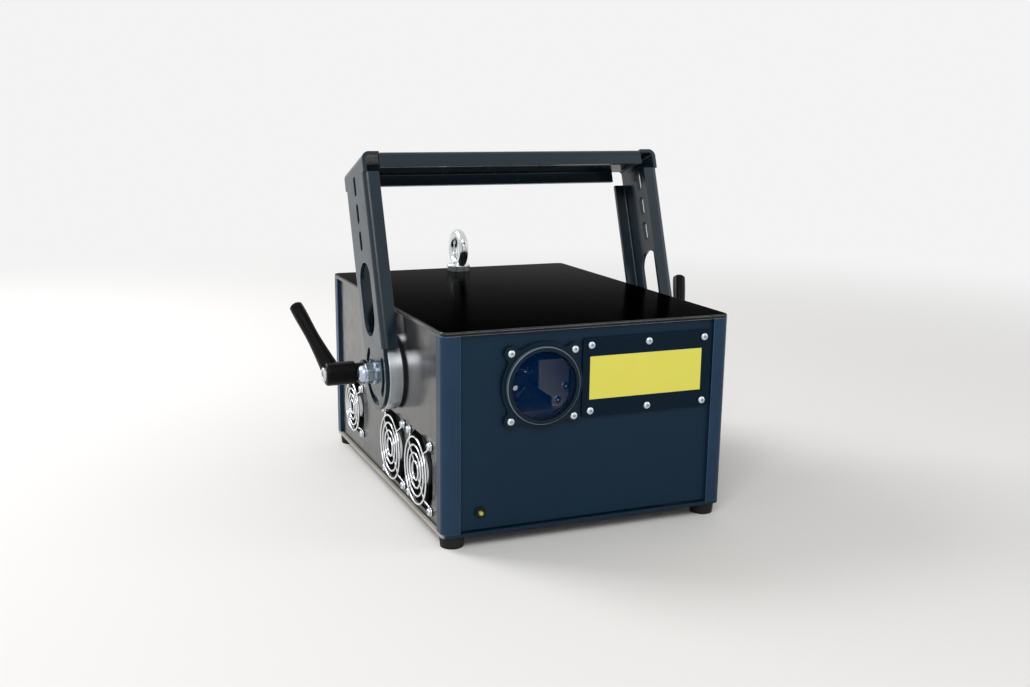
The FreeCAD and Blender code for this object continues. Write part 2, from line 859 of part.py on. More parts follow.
def build_yoke():
    half = yoke_web / 2
    bar_half = yoke_half - notch_side
    zs = (yoke_reach - flange_depth, yoke_reach)
    outside = block((-bar_half, bar_half), (-half, half), zs)
    inside = block((-bar_half - overrun, bar_half + overrun), (yoke_sheet - half, half - yoke_sheet),
                   (zs[0] - overrun, yoke_reach - yoke_sheet))
    bar = channel(outside, inside, axis_x, lambda p, inset: p.z > yoke_reach - inset - hole_clearance)
    xs = (yoke_inner - overrun, yoke_half + overrun)
    cuts = [rod(stud_radius + running_clearance, point(xs[0], 0, 0), point(xs[1], 0, 0)),
            upright_slot(xs, 0, arm_slot_low, arm_slot_high, arm_slot_width)]
    for k in range(small_slot_count):
        low = small_slot_low + k * small_slot_pitch
        cuts.append(upright_slot(xs, 0, low, low + small_slot_length, small_slot_width))
    cuts += [arc_slot(start, span) for start, span in zip(arc_slot_starts, arc_slot_spans)]
    side = yoke_arm().fuse(yoke_corner()).cut(Part.makeCompound(cuts))
    yoke = bar.multiFuse([side, mirrored(side)]).removeSplitter()
    yoke = yoke.cut(rod(clamp_hole_radius, point(0, 0, zs[0]), point(0, 0, yoke_reach + overrun)))
    save("yoke", yoke_pose(yoke, yoke_tilt))


def pivot_rod(radius, start, end):
    return rod(radius, point(start, pivot_y, pivot_z), point(end, pivot_y, pivot_z))


def clamp_rod(radius, start, end):
    return rod(radius, point(start, clamp_y, clamp_z), point(end, clamp_y, clamp_z))


def clamp_ring(radius, bore, start, end):
    return tube(radius, bore, point(start, clamp_y, clamp_z), point(end, clamp_y, clamp_z))


def both_studs(spare, start, end):
    return Part.makeCompound([pivot_rod(stud_radius + spare, start, end),
                              clamp_rod(clamp_stud_radius + spare, start, end)])


# The yoke turns on the pivot studs, each held in a block behind the panel and closed by a domed nut.
def build_pivots():
    ring_end = side_outer + friction_ring_thick
    block_start = side_inner - pivot_block_thick
    holes = both_studs(moving_clearance, side_outer - overrun, yoke_inner + overrun)
    ring = pivot_rod(friction_ring_radius, side_outer, ring_end).cut(holes)
    disc = pivot_rod(disc_radius, ring_end, yoke_inner)
    disc = disc.makeChamfer(disc_bevel, [e for e in disc.Edges if len(e.Vertexes) == 1]).cut(holes)
    anchor = block((block_start, side_inner), spread(pivot_y, pivot_block_wide),
                   spread(pivot_z, pivot_block_tall))
    anchor = anchor.cut(both_studs(running_clearance, block_start - overrun, side_inner + overrun))
    bore = stud_radius + running_clearance
    washer = tube(washer_radius, bore, point(yoke_half, pivot_y, pivot_z),
                  point(washer_end, pivot_y, pivot_z))
    nut = hex_nut(nut_flat, nut_height, bore, nut_bevel)
    cap = Part.makeCylinder(cap_radius, cap_length, axis_z * nut_height)
    cap = rounded(cap, cap_round, lambda e: len(e.Vertexes) == 1 and e.Vertexes[0].Z > nut_height + overrun)
    nut = placed(nut.fuse(cap).removeSplitter(), point(washer_end, pivot_y, pivot_z), axis_x)
    stud = pivot_rod(stud_radius, block_start + stud_tail, washer_end + nut_height)
    group("friction_rings", [ring, mirrored(ring)])
    group("pivot_discs", [disc, mirrored(disc)])
    group("pivot_blocks", [anchor, mirrored(anchor)])
    group("pivot_washers", [washer, mirrored(washer)])
    group("pivot_nuts", [nut, mirrored(nut)])
    group("pivot_studs", [stud, mirrored(stud)])


# The clamp stack on the right side, from the yoke outwards; the left side is its mirror image.
washer_end = yoke_half + washer_thick
hub_start = washer_end + lever_gap
hub_end = hub_start + hub_length
stud_head_start = hub_start + lever_gap
stud_head_end = stud_head_start + stud_head_length
shoulder_start = stud_head_end + lever_gap
shoulder_end = shoulder_start + hub_shoulder
lever_screw_start = hub_end + lever_screw_proud - lever_screw_head


def clamp_pieces():
    stud = clamp_rod(clamp_stud_radius, side_inner - pivot_block_thick + stud_tail, stud_head_start)
    stud = stud.fuse(clamp_rod(stud_head_radius, stud_head_start, stud_head_end)).removeSplitter()
    screw = clamp_rod(lever_screw_radius, stud_head_end, lever_screw_start)
    screw = screw.fuse(clamp_rod(lever_screw_head_radius, lever_screw_start, hub_end + lever_screw_proud))
    socket = hexagon(lever_screw_socket_flat, lever_screw_head)
    socket = placed(socket, point(lever_screw_start + lever_screw_head / 2, clamp_y, clamp_z), axis_x)
    spring = clamp_ring(spring_outer_radius, spring_inner_radius, shoulder_end, lever_screw_start)
    return {"clamp_stud": stud, "lever_screw": screw.removeSplitter().cut(socket), "lever_spring": spring}


# The lever's arm is a turned shape leaning outwards from its hub.
def lever_handle(angle):
    foot_end = hub_start + hub_foot_length
    waist_end = foot_end + hub_waist_length
    hub = rod(hub_foot_radius, point(hub_start, 0, 0), point(foot_end, 0, 0))
    hub = hub.fuse(rod(hub_waist_radius, point(foot_end, 0, 0), point(waist_end, 0, 0)))
    barrel = rod(hub_radius, point(waist_end, 0, 0), point(hub_end, 0, 0))
    barrel = rounded(barrel, hub_round,
                     lambda e: len(e.Vertexes) == 1 and e.Vertexes[0].X < hub_end - hub_round)
    barrel = rounded(barrel, hub_end_round,
                     lambda e: len(e.Vertexes) == 1 and e.Vertexes[0].X > hub_end - hub_round)
    side = Part.BSplineCurve()
    side.interpolate([point(lever_root_radius, 0, 0),
                      point(lever_shaft_radius, 0, lever_length * lever_shaft_share),
                      point(lever_neck_radius, 0, lever_length * lever_neck_share),
                      point(lever_knob_radius, 0, lever_length * lever_knob_share),
                      point(lever_tip_radius, 0, lever_length - hub_round)])
    tip = [point(lever_tip_radius, 0, lever_length - hub_round),
           point(lever_tip_radius - hub_round, 0, lever_length),
           point(0, 0, lever_length), centre, point(lever_root_radius, 0, 0)]
    edges = [side.toShape()] + [Part.makeLine(a, b) for a, b in zip(tip, tip[1:])]
    arm = Part.Face(Part.Wire(edges)).revolve(centre, axis_z, 360)
    arm.rotate(centre, axis_y, lever_lean)
    arm.translate(axis_x * (hub_start + lever_root_depth))
    handle = hub.multiFuse([barrel, arm]).removeSplitter()
    cavity = rod(stud_head_radius + moving_clearance, point(hub_start - overrun, 0, 0),
                 point(shoulder_start, 0, 0))
    neck = rod(lever_screw_radius + moving_clearance, point(hub_start, 0, 0), point(hub_end, 0, 0))
    well = rod(lever_screw_head_radius + moving_clearance, point(shoulder_end, 0, 0),
               point(hub_end + lever_screw_proud + overrun, 0, 0))
    handle = handle.cut(Part.makeCompound([cavity, neck, well]))
    handle.rotate(centre, axis_x, -angle)
    handle.translate(point(0, clamp_y, clamp_z))
    return handle


def build_clamps():
    washer = clamp_ring(lever_washer_radius, clamp_stud_radius + running_clearance,
                        yoke_half + lever_washer_gap, washer_end)
    group("lever_washers", [washer, mirrored(washer)])
    for name, piece in clamp_pieces().items():
        save(name + "_right", piece)
        save(name + "_left", mirrored(piece))
    save("lever_right", lever_handle(lever_angle_right))
    save("lever_left", mirrored(lever_handle(lever_angle_left)))


def build_eye():
    y = rear_face - eye_from_rear
    middle = point(0, y, cover_top + eye_rise)
    ring = Part.makeTorus(eye_ring_radius, eye_wire_radius, middle, axis_x)
    ring.rotate(middle, axis_z, eye_angle)
    collar = Part.makeCylinder(eye_collar_radius, eye_collar_height, point(0, y, cover_top))
    collar = rounded(collar, eye_collar_round,
                     lambda e: len(e.Vertexes) == 1 and e.Vertexes[0].Z > cover_top + overrun)
    neck_top = cover_top + eye_rise - eye_ring_radius
    neck = Part.makeCylinder(eye_neck_radius, neck_top + eye_wire_radius / 2 - cover_top,
                             point(0, y, cover_top))
    shank = rod(eye_shank_radius, point(0, y, cover_top - eye_shank_length), point(0, y, cover_top))
    save("eye_bolt", ring.multiFuse([collar, neck, shank]).removeSplitter())
    nut = hex_nut(eye_nut_flat, eye_nut_height, eye_shank_radius + hole_clearance, nut_bevel)
    save("eye_bolt_nut", placed(nut, point(0, y, cover_low - eye_nut_height), axis_z))


def build_optics_plate():
    ys = (front_face + optics_front, optics_rear)
    save("optics_plate", block((-optics_half, optics_half), ys, (optics_low, optics_top)))
    pillars = []
    for x in (-pillar_x, pillar_x):
        for y in pillar_ys:
            pillars.append(rod(pillar_radius, point(x, y, base_top), point(x, y, optics_low)))
    group("optics_pillars", pillars)


# The upper motor lies along X and nods the beam; the lower one lies along Y and swings it sideways.
def build_scanner():
    upper_face = window_x + galvo_gap
    lower_face = scan_y + galvo_gap
    half = galvo_radius + galvo_wall
    upper = block((upper_face, upper_face + scan_wall), spread(scan_y, 2 * half),
                  (optics_top, window_z + half))
    lower = block((window_x - half, upper_face), (lower_face, lower_face + scan_wall),
                  (optics_top, beam_z + half))
    bridge = block((upper_face, upper_face + scan_wall), (scan_y, lower_face + scan_wall),
                   (optics_top, beam_z + half))
    frame = upper.multiFuse([lower, bridge]).removeSplitter()
    fit = galvo_radius + hole_clearance
    frame = frame.cut(rod(fit, point(upper_face - overrun, scan_y, window_z),
                          point(upper_face + scan_wall + overrun, scan_y, window_z)))
    frame = frame.cut(rod(fit, point(window_x, lower_face - overrun, beam_z),
                          point(window_x, lower_face + scan_wall + overrun, beam_z)))
    frame = frame.cut(rod(beam_hole_radius, point(upper_face - overrun, scan_y, beam_z),
                          point(upper_face + scan_wall + overrun, scan_y, beam_z)))
    near = scan_y - half
    notch = [point(upper_face - overrun, near - overrun, optics_top - overrun),
             point(upper_face + scan_leg_set, near - overrun, optics_top - overrun),
             point(upper_face + scan_leg_set, near - overrun, optics_top + scan_notch_low),
             point(upper_face, near - overrun, optics_top + scan_notch_high),
             point(upper_face - overrun, near - overrun, optics_top + scan_notch_high)]
    notch = Part.Face(Part.makePolygon(notch + notch[:1]))
    frame = frame.cut(notch.extrude(axis_y * (lower_face - near + overrun)))
    screws = []
    for along_x, up in scan_screw_places:
        spot = point(upper_face + along_x, near, optics_top + up)
        frame = frame.cut(rod(screw_radius + hole_clearance, spot - axis_y * overrun,
                              spot + axis_y * (scan_screw_length + overrun)))
        screws.append(placed(button_screw(scan_screw_length), spot, axis_y * -1))
    group("scanner_screws", screws)
    save("scanner_block", frame)
    motors = []
    for name, face, step in (("galvo_y_mirror", point(upper_face, scan_y, window_z), axis_x),
                             ("galvo_x_mirror", point(window_x, lower_face, beam_z), axis_y)):
        motor = rod(galvo_radius, face, face + step * galvo_length)
        bore = rod(galvo_shaft_radius + running_clearance, face - step * overrun,
                   face + step * (galvo_shaft_sink + overrun))
        motors.append(motor.cut(bore))
        clip_end = galvo_gap - mirror_wide / 2
        shaft = rod(galvo_shaft_radius, face - step * clip_end, face + step * galvo_shaft_sink)
        clip = rod(mirror_clip_radius, face - step * (clip_end + mirror_clip_radius),
                   face - step * mirror_clip_radius)
        middle = face - step * galvo_gap
        plate = block(spread(0, mirror_wide), spread(0, mirror_thick), spread(0, mirror_tall))
        plate.rotate(centre, axis_x, mirror_tilt)
        plate = placed_along(plate, middle, step)
        save(name, shaft.multiFuse([clip, plate]).removeSplitter())
    group("galvo_motors", motors)


# Turns a piece drawn along X so that it lies along the given axis.
def placed_along(shape, position, direction):
    copy = shape.copy()
    copy.Placement = FreeCAD.Placement(position, FreeCAD.Rotation(axis_x, direction)).multiply(copy.Placement)
    return copy


def build_lasers():
    lasers = []
    mounts = []
    for x in laser_xs:
        start = front_face + laser_from_front
        body = block(spread(x, laser_width), (start, start + laser_length),
                     (optics_top, optics_top + laser_tall))
        nose = rod(laser_nose_radius, point(x, start - laser_nose_length, beam_z), point(x, start, beam_z))
        lasers.append(body.fuse(nose).removeSplitter())
        foot = block(spread(x, mount_side), spread(scan_y, mount_side), (optics_top, optics_top + mount_foot))
        plate = block(spread(0, mount_side), spread(0, mount_plate), (0, mount_tall))
        plate.rotate(centre, axis_z, mirror_tilt)
        plate.translate(point(x, scan_y, optics_top))
        mounts.append(foot.fuse(plate).removeSplitter())
    group("laser_modules", lasers)
    group("mirror_mounts", mounts)


def build_electronics():
    supply_end = pillar_ys[1] - pillar_radius - supply_gap
    save("power_supply", block(spread(supply_x, supply_width), (supply_end - supply_length, supply_end),
                               (base_top, base_top + supply_tall)))
    boards = []
    for x, front, length in zip((-board_x, board_x), board_fronts, board_lengths):
        start = front_face + front
        sink = block(spread(x, board_width - 2 * board_overhang),
                     (start + board_overhang, start + length - board_overhang),
                     (base_top, base_top + sink_tall))
        top = base_top + sink_tall + board_thick
        card = block(spread(x, board_width), (start, start + length), (base_top + sink_tall, top))
        chips = []
        for across in chip_shares:
            for down in chip_shares:
                chip_x = x + board_width * (across - chip_shares[1])
                chip_y = start + length * down
                chips.append(block(spread(chip_x, board_width * chip_size_share),
                                   spread(chip_y, length * chip_size_share),
                                   (top, top + chip_tall)))
        boards.append(sink.multiFuse([card] + chips).removeSplitter())
    group("driver_boards", boards)


def rear_rod(radius, x, z, depth, proud):
    return rod(radius, point(x, rear_outer - depth, z), point(x, rear_outer + proud, z))


inlet_z = base_low + inlet_height
rocker_z = inlet_z + inlet_tall * rocker_rise_share
socket_z = inlet_z + inlet_tall * socket_rise_share
rocker_axis_y = rear_outer + inlet_flange - rocker_deep / 2 + rocker_proud


def build_inlet():
    body_xs = spread(inlet_x, inlet_width - 2 * inlet_rim)
    body_zs = spread(inlet_z, inlet_tall - 2 * inlet_rim)
    flange_face = rear_outer + inlet_flange
    housing = block(spread(inlet_x, inlet_width), (rear_outer, flange_face), spread(inlet_z, inlet_tall))
    housing = rounded(housing, inlet_rim, lambda e: along(e, axis_y))
    housing = housing.fuse(block(body_xs, (rear_outer - inlet_body, rear_outer), body_zs)).removeSplitter()
    well = (flange_face - socket_deep, flange_face + overrun)
    housing = housing.cut(block(spread(inlet_x, socket_wide), well, spread(socket_z, socket_tall)))
    room = rocker_deep + 2 * rocker_room
    housing = housing.cut(block(spread(inlet_x, rocker_wide + 2 * moving_clearance),
                                (rocker_axis_y - room / 2, flange_face + overrun),
                                spread(rocker_z, rocker_tall + 2 * rocker_room)))
    trunnion_reach = rocker_wide / 2 + rocker_trunnion + moving_clearance
    housing = housing.cut(rod(rocker_trunnion_radius + running_clearance,
                              point(inlet_x - trunnion_reach, rocker_axis_y, rocker_z),
                              point(inlet_x + trunnion_reach, rocker_axis_y, rocker_z)))
    pins = []
    for k, rise in ((-1, -pin_rise), (0, pin_rise), (1, -pin_rise)):
        pins.append(block(spread(inlet_x + k * pin_pitch, pin_thick),
                          (well[0] - overrun, well[0] + pin_length),
                          spread(socket_z + rise, pin_wide)))
    save("mains_inlet", housing.multiFuse(pins).removeSplitter())
    rocker = block(spread(0, rocker_wide), spread(0, rocker_deep), spread(0, rocker_tall))
    half = rocker_wide / 2 + rocker_trunnion
    rocker = rocker.fuse(rod(rocker_trunnion_radius, point(-half, 0, 0), point(half, 0, 0))).removeSplitter()
    rocker.rotate(centre, axis_x, rocker_angle)
    rocker.translate(point(inlet_x, rocker_axis_y, rocker_z))
    save("power_rocker", rocker)
    return block(body_xs, (rear_inner - overrun, rear_outer + overrun), body_zs)


def build_key_switch():
    z = cover_top - key_drop
    body = rear_rod(key_flange_radius, key_x, z, 0, key_flange)
    body = body.fuse(rear_rod(key_body_radius, key_x, z, key_body_length, 0)).removeSplitter()
    bore_floor = key_body_length - key_flange
    body = body.cut(rear_rod(key_barrel_radius + running_clearance, key_x, z, bore_floor,
                             key_flange + overrun))
    save("key_switch", body)
    barrel = rear_rod(key_barrel_radius, key_x, z, bore_floor, key_flange + key_barrel_proud)
    face = rear_outer + key_flange + key_barrel_proud
    slot = block(spread(key_x, key_slot_thick), (face - key_slot_deep, face + overrun),
                 spread(z, key_slot_wide))
    save("key_barrel", barrel.cut(slot))
    return rear_rod(key_body_radius + hole_clearance, key_x, z, panel_thick + overrun, overrun)


def signal_socket(x):
    z = base_low + signal_height
    face = rear_outer + signal_flange
    flange = block(spread(x, signal_wide), (rear_outer, face), spread(z, signal_tall))
    half = signal_shell_wide / 2
    rise = signal_shell_tall / 2
    corners = [point(x - half, face, z + rise), point(x + half, face, z + rise),
               point(x + half - signal_shell_slant, face, z - rise),
               point(x - half + signal_shell_slant, face, z - rise)]
    shell = prism(corners, axis_y * signal_shell)
    body = block(spread(x, signal_shell_wide), (rear_outer - signal_body, rear_outer),
                 spread(z, signal_shell_tall))
    socket = flange.multiFuse([shell, body]).removeSplitter()
    holes = []
    for count, side in zip(signal_row_counts, (1, -1)):
        for k in range(count):
            hole_x = x + (k - (count - 1) / 2) * signal_pin_pitch
            hole_z = z + side * rise / 2
            holes.append(rod(signal_pin_radius, point(hole_x, face, hole_z),
                             point(hole_x, face + signal_shell + overrun, hole_z)))
    for side in (-1, 1):
        hole_x = x + side * signal_screw_span / 2
        holes.append(rod(screw_radius + hole_clearance, point(hole_x, rear_inner, z),
                         point(hole_x, face + overrun, z)))
    return socket.cut(Part.makeCompound(holes))


def build_rear_panel():
    cuts = [build_inlet(), build_key_switch()]
    group("signal_sockets", [signal_socket(x) for x in signal_xs])
    screws = []
    z = base_low + signal_height
    post = hexagon(hex_post_flat, hex_post_length).fuse(Part.makeCylinder(screw_radius, screw_length,
                                                                          axis_z * -screw_length))
    through = (rear_inner - overrun, rear_outer + overrun)
    for x in signal_xs:
        cuts.append(block(spread(x, signal_shell_wide), through, spread(z, signal_shell_tall)))
        for side in (-1, 1):
            screw_x = x + side * signal_screw_span / 2
            cuts.append(rear_rod(screw_radius + hole_clearance, screw_x, z, panel_thick + overrun, overrun))
            screws.append(placed(post, point(screw_x, rear_outer + signal_flange, z), axis_y))
    z = cover_top - interlock_drop
    face = rear_outer + interlock_flange
    jack = block(spread(interlock_x, interlock_wide), (rear_outer, face), spread(z, interlock_tall))
    jack = rounded(jack, plate_corner, lambda e: along(e, axis_y))
    jack = jack.multiFuse([rear_rod(interlock_radius, interlock_x, z, interlock_body,
                                    interlock_flange + interlock_proud)])
    jack = jack.removeSplitter()
    for turn in (90, 210, 330):
        hole_x = interlock_x + interlock_pin_circle * math.cos(math.radians(turn))
        hole_z = z + interlock_pin_circle * math.sin(math.radians(turn))
        jack = jack.cut(rear_rod(interlock_pin_radius, hole_x, hole_z, 0,
                                 interlock_flange + interlock_proud + overrun))
    cuts.append(rear_rod(interlock_radius + hole_clearance, interlock_x, z, panel_thick + overrun, overrun))
    screw = button_screw(screw_length)
    for side in (-1, 1):
        screw_x = interlock_x + side * interlock_screw_wide / 2
        screw_z = z + side * interlock_screw_rise / 2
        hole = rear_rod(screw_radius + hole_clearance, screw_x, screw_z, panel_thick + overrun,
                        interlock_flange + overrun)
        jack = jack.cut(hole)
        cuts.append(hole)
        screws.append(placed(screw, point(screw_x, face, screw_z), axis_y))
    save("interlock_socket", jack)
    group("rear_screws", screws)
    panel = block((-panel_half_width, panel_half_width), (rear_inner, rear_outer), (panel_low, cover_low))
    for cut in cuts:
        panel = panel.cut(cut)
    save("rear_panel", panel)


os.makedirs("parts", exist_ok=True)
build_base()
build_cover()
build_posts()
build_feet()
build_front_panel()
build_window()
build_cover_plate()
build_lamp()
build_side_panels()
build_fans()
build_guards()
build_yoke()
build_pivots()
build_clamps()
build_eye()
build_optics_plate()
build_scanner()
build_lasers()
build_electronics()
build_rear_panel()
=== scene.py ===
import bpy, bmesh, json, math
from mathutils import Matrix, Vector


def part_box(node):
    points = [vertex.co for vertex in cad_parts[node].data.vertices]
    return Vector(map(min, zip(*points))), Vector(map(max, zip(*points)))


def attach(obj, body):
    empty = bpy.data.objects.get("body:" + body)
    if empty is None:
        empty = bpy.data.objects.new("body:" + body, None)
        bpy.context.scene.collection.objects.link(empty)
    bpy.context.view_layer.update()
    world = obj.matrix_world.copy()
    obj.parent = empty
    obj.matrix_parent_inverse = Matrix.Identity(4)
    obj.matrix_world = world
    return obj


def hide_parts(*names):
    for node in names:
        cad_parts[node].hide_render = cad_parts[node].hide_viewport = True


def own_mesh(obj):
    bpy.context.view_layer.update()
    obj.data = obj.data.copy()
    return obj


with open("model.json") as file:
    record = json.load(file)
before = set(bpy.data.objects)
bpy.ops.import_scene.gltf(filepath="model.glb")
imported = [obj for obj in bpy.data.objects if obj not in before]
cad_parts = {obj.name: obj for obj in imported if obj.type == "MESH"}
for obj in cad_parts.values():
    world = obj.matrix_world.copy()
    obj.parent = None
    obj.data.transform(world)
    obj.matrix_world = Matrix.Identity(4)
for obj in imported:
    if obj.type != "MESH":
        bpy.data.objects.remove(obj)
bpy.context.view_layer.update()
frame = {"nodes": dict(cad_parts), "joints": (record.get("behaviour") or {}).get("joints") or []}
nodes = frame["nodes"]
print("frame in place:", len(nodes), "nodes")


# Node helpers, for shader trees and Geometry Nodes trees

def setSocket(tree, socket, value):
    if isinstance(value, bpy.types.NodeSocket):
        tree.links.new(value, socket)
    else:
        socket.default_value = value


# An input's name is given with _ for each space
def addNode(tree, kind, settings=None, **inputs):
    node = tree.nodes.new(kind)
    for key, value in (settings or {}).items():
        setattr(node, key, value)
    for key, value in inputs.items():
        setSocket(tree, node.inputs[key.replace("_", " ")], value)
    return node


def sums(tree, operation, first, second=0.0):
    node = addNode(tree, "ShaderNodeMath", {"operation": operation})
    setSocket(tree, node.inputs[0], first)
    setSocket(tree, node.inputs[1], second)
    return node.outputs[0]


# Shader helpers

def startMaterial(name):
    material = bpy.data.materials.new(name)
    material.use_nodes = True
    tree = material.node_tree
    return material, tree, tree.nodes["Principled BSDF"]


def dress(tree, shader, **inputs):
    for key, value in inputs.items():
        setSocket(tree, shader.inputs[key.replace("_", " ")], value)


def objectCoords(tree, scale=(1, 1, 1), place=(0, 0, 0)):
    coords = addNode(tree, "ShaderNodeTexCoord").outputs["Object"]
    mapping = addNode(tree, "ShaderNodeMapping", {"vector_type": "POINT"}, Vector=coords,
                      Location=place, Scale=scale)
    return mapping.outputs["Vector"]


def noise(tree, vector, scale, detail=3.0, rough=0.55):
    node = addNode(tree, "ShaderNodeTexNoise", Vector=vector, Scale=scale, Detail=detail,
                   Roughness=rough)
    return node.outputs["Fac"]


def remap(tree, value, low, high, fromLow=0.3, fromHigh=0.7):
    node = addNode(tree, "ShaderNodeMapRange", {"clamp": True}, Value=value, From_Min=fromLow,
                   From_Max=fromHigh, To_Min=low, To_Max=high)
    return node.outputs["Result"]


mixColours = {"inputs": (6, 7), "output": 2}  # a Mix node's colour sockets


def blend(tree, value, *colours):
    node = addNode(tree, "ShaderNodeMix", {"data_type": "RGBA"}, Factor=value)
    for index, colour in zip(mixColours["inputs"], colours):
        if not isinstance(colour, bpy.types.NodeSocket):
            colour = (*colour, 1)
        setSocket(tree, node.inputs[index], colour)
    return node.outputs[mixColours["output"]]


def scaled(colour, factor):
    return tuple(c * factor for c in colour)


def mottled(tree, coords, look):
    cloud = noise(tree, coords, look["cloudScale"], look["cloudDetail"])
    return blend(tree, cloud, *(scaled(look["colour"], share) for share in look["cloudShares"]))


def axes(tree, vector):
    return addNode(tree, "ShaderNodeSeparateXYZ", Vector=vector).outputs


def faceNormal(tree):
    return addNode(tree, "ShaderNodeNewGeometry").outputs["Normal"]


def vectorLength(tree, vector):
    node = addNode(tree, "ShaderNodeVectorMath", {"operation": "LENGTH"})
    tree.links.new(vector, node.inputs[0])
    return node.outputs["Value"]


def softEdges(tree, radius):
    return addNode(tree, "ShaderNodeBevel", {"samples": 4}, Radius=radius).outputs["Normal"]


# 1 on edges, 0 on flats
def edgeMask(tree, radius, low, high):
    dot = addNode(tree, "ShaderNodeVectorMath", {"operation": "DOT_PRODUCT"})
    tree.links.new(softEdges(tree, radius), dot.inputs[0])
    tree.links.new(faceNormal(tree), dot.inputs[1])
    return remap(tree, dot.outputs["Value"], 1.0, 0.0, low, high)


def bump(tree, height, strength, distance, edge=None):
    node = addNode(tree, "ShaderNodeBump", Height=height, Strength=strength, Distance=distance)
    if edge:
        tree.links.new(softEdges(tree, edge), node.inputs["Normal"])
    return node.outputs["Normal"]


def grained(tree, coords, look):
    grain = noise(tree, coords, look["grain"], look["grainDetail"])
    return bump(tree, grain, look["grainStrength"], look["grainDepth"], look.get("edge"))


# Painted, moulded and rubber finishes: blotched colour, fine grain, lighter rubbed edges
coatDefaults = {
    "cloudScale": 22, "cloudDetail": 4, "blotch": 0.12,
    "wear": 0.35, "scuffScale": 160, "scuffDetail": 4, "scuffRough": 0.7, "scuffFrom": (0.35, 0.62),
    "edge": 0.0005, "wornReach": 1.4, "wornFrom": (0.86, 0.995), "wornGain": 4, "wornColour": None,
    "smearScale": 70, "roughSpread": (-0.05, 0.06), "specular": 0.5, "coat": 0.0, "coatRough": 0.2,
    "grain": 2600, "grainDetail": 2, "grainStrength": 0.25, "grainDepth": 0.00006,
}


def coatFinish(name, given):
    look = {**coatDefaults, **given}
    look["cloudShares"] = (1 - look["blotch"], 1 + look["blotch"])
    material, tree, shader = startMaterial(name)
    coords = objectCoords(tree)
    tone = mottled(tree, coords, look)
    if look["wear"]:
        scuff = noise(tree, coords, look["scuffScale"], look["scuffDetail"], look["scuffRough"])
        worn = edgeMask(tree, look["edge"] * look["wornReach"], *look["wornFrom"])
        rubbed = remap(tree, scuff, 0.0, look["wear"], *look["scuffFrom"])
        mask = sums(tree, "MULTIPLY", worn, rubbed)
        tone = blend(tree, mask, tone,
                     look["wornColour"] or scaled(look["colour"], look["wornGain"]))
    low, high = (look["rough"] + change for change in look["roughSpread"])
    dress(tree, shader, Base_Color=tone, Specular_IOR_Level=look["specular"],
          Roughness=remap(tree, noise(tree, coords, look["smearScale"]), low, high),
          Coat_Weight=look["coat"], Coat_Roughness=look["coatRough"],
          Normal=grained(tree, coords, look))
    return material


# Bare and plated metals: directional brushing or an even bloom
metalDefaults = {
    "stretch": (1, 1, 1), "lines": 900, "lineDetail": 3, "lineRough": 0.6,
    "lineStrength": 0.15, "lineDepth": 0.00004, "edge": 0.0003,
    "tint": None, "bloom": 60, "bloomDetail": 4, "shades": (0.9, 1.06), "roughShares": (0.75, 1.3),
}


def metalFinish(name, given):
    look = {**metalDefaults, **given}
    material, tree, shader = startMaterial(name)
    brushed = noise(tree, objectCoords(tree, look["stretch"]), look["lines"], look["lineDetail"],
                    look["lineRough"])
    cloud = noise(tree, objectCoords(tree), look["bloom"], look["bloomDetail"])
    dark, light = (scaled(look["colour"], share) for share in look["shades"])
    low, high = (look["rough"] * share for share in look["roughShares"])
    dress(tree, shader, Base_Color=blend(tree, cloud, dark, look["tint"] or light), Metallic=1.0,
          Roughness=remap(tree, brushed, low, high),
          Normal=bump(tree, brushed, look["lineStrength"], look["lineDepth"], look["edge"]))
    return material


# Finishes, linear colours

coats = {
    "frontCoat": dict(colour=(0.0034, 0.0195, 0.041), rough=0.42, specular=0.15,
                      wornColour=(0.05, 0.06, 0.075)),
    "plateCoat": dict(colour=(0.0008, 0.0092, 0.02), rough=0.45, specular=0.09,
                      wornColour=(0.06, 0.07, 0.085)),
    "sideCoat": dict(colour=(0.012, 0.012, 0.012), rough=0.2, specular=0.75, grainStrength=0.06,
                     blotch=0.2),
    "yokeCoat": dict(colour=(0.0047, 0.016, 0.026), rough=0.22, specular=0.37, edge=0.0007,
                     wear=0.5, grainStrength=0.08),
    "leverCoat": dict(colour=(0.0025, 0.0024, 0.003), rough=0.3, specular=0.1, edge=0.0008,
                      grain=1800, wear=0.3),
    "fanPlastic": dict(colour=(0.006, 0.006, 0.0065), rough=0.45, grain=3200, wear=0.0,
                       specular=0.35),
    "mouldedPlastic": dict(colour=(0.011, 0.011, 0.0115), rough=0.5, grain=3000, wear=0.15),
    "rockerPlastic": dict(colour=(0.014, 0.014, 0.0145), rough=0.25, grain=900, grainStrength=0.05,
                          wear=0.1, coat=0.3),
    "lampCollar": dict(colour=(0.004, 0.004, 0.0045), rough=0.2, specular=0.2, grain=900,
                       grainStrength=0.05, wear=0.1),
    "blackRubber": dict(colour=(0.01, 0.01, 0.01), rough=0.75, grain=1500, grainStrength=0.5,
                        wear=0.2, specular=0.25),
    "supplyCase": dict(colour=(0.42, 0.42, 0.41), rough=0.5, grain=700, wear=0.2),
    "laserHousing": dict(colour=(0.02, 0.02, 0.022), rough=0.4, wear=0.4),
}
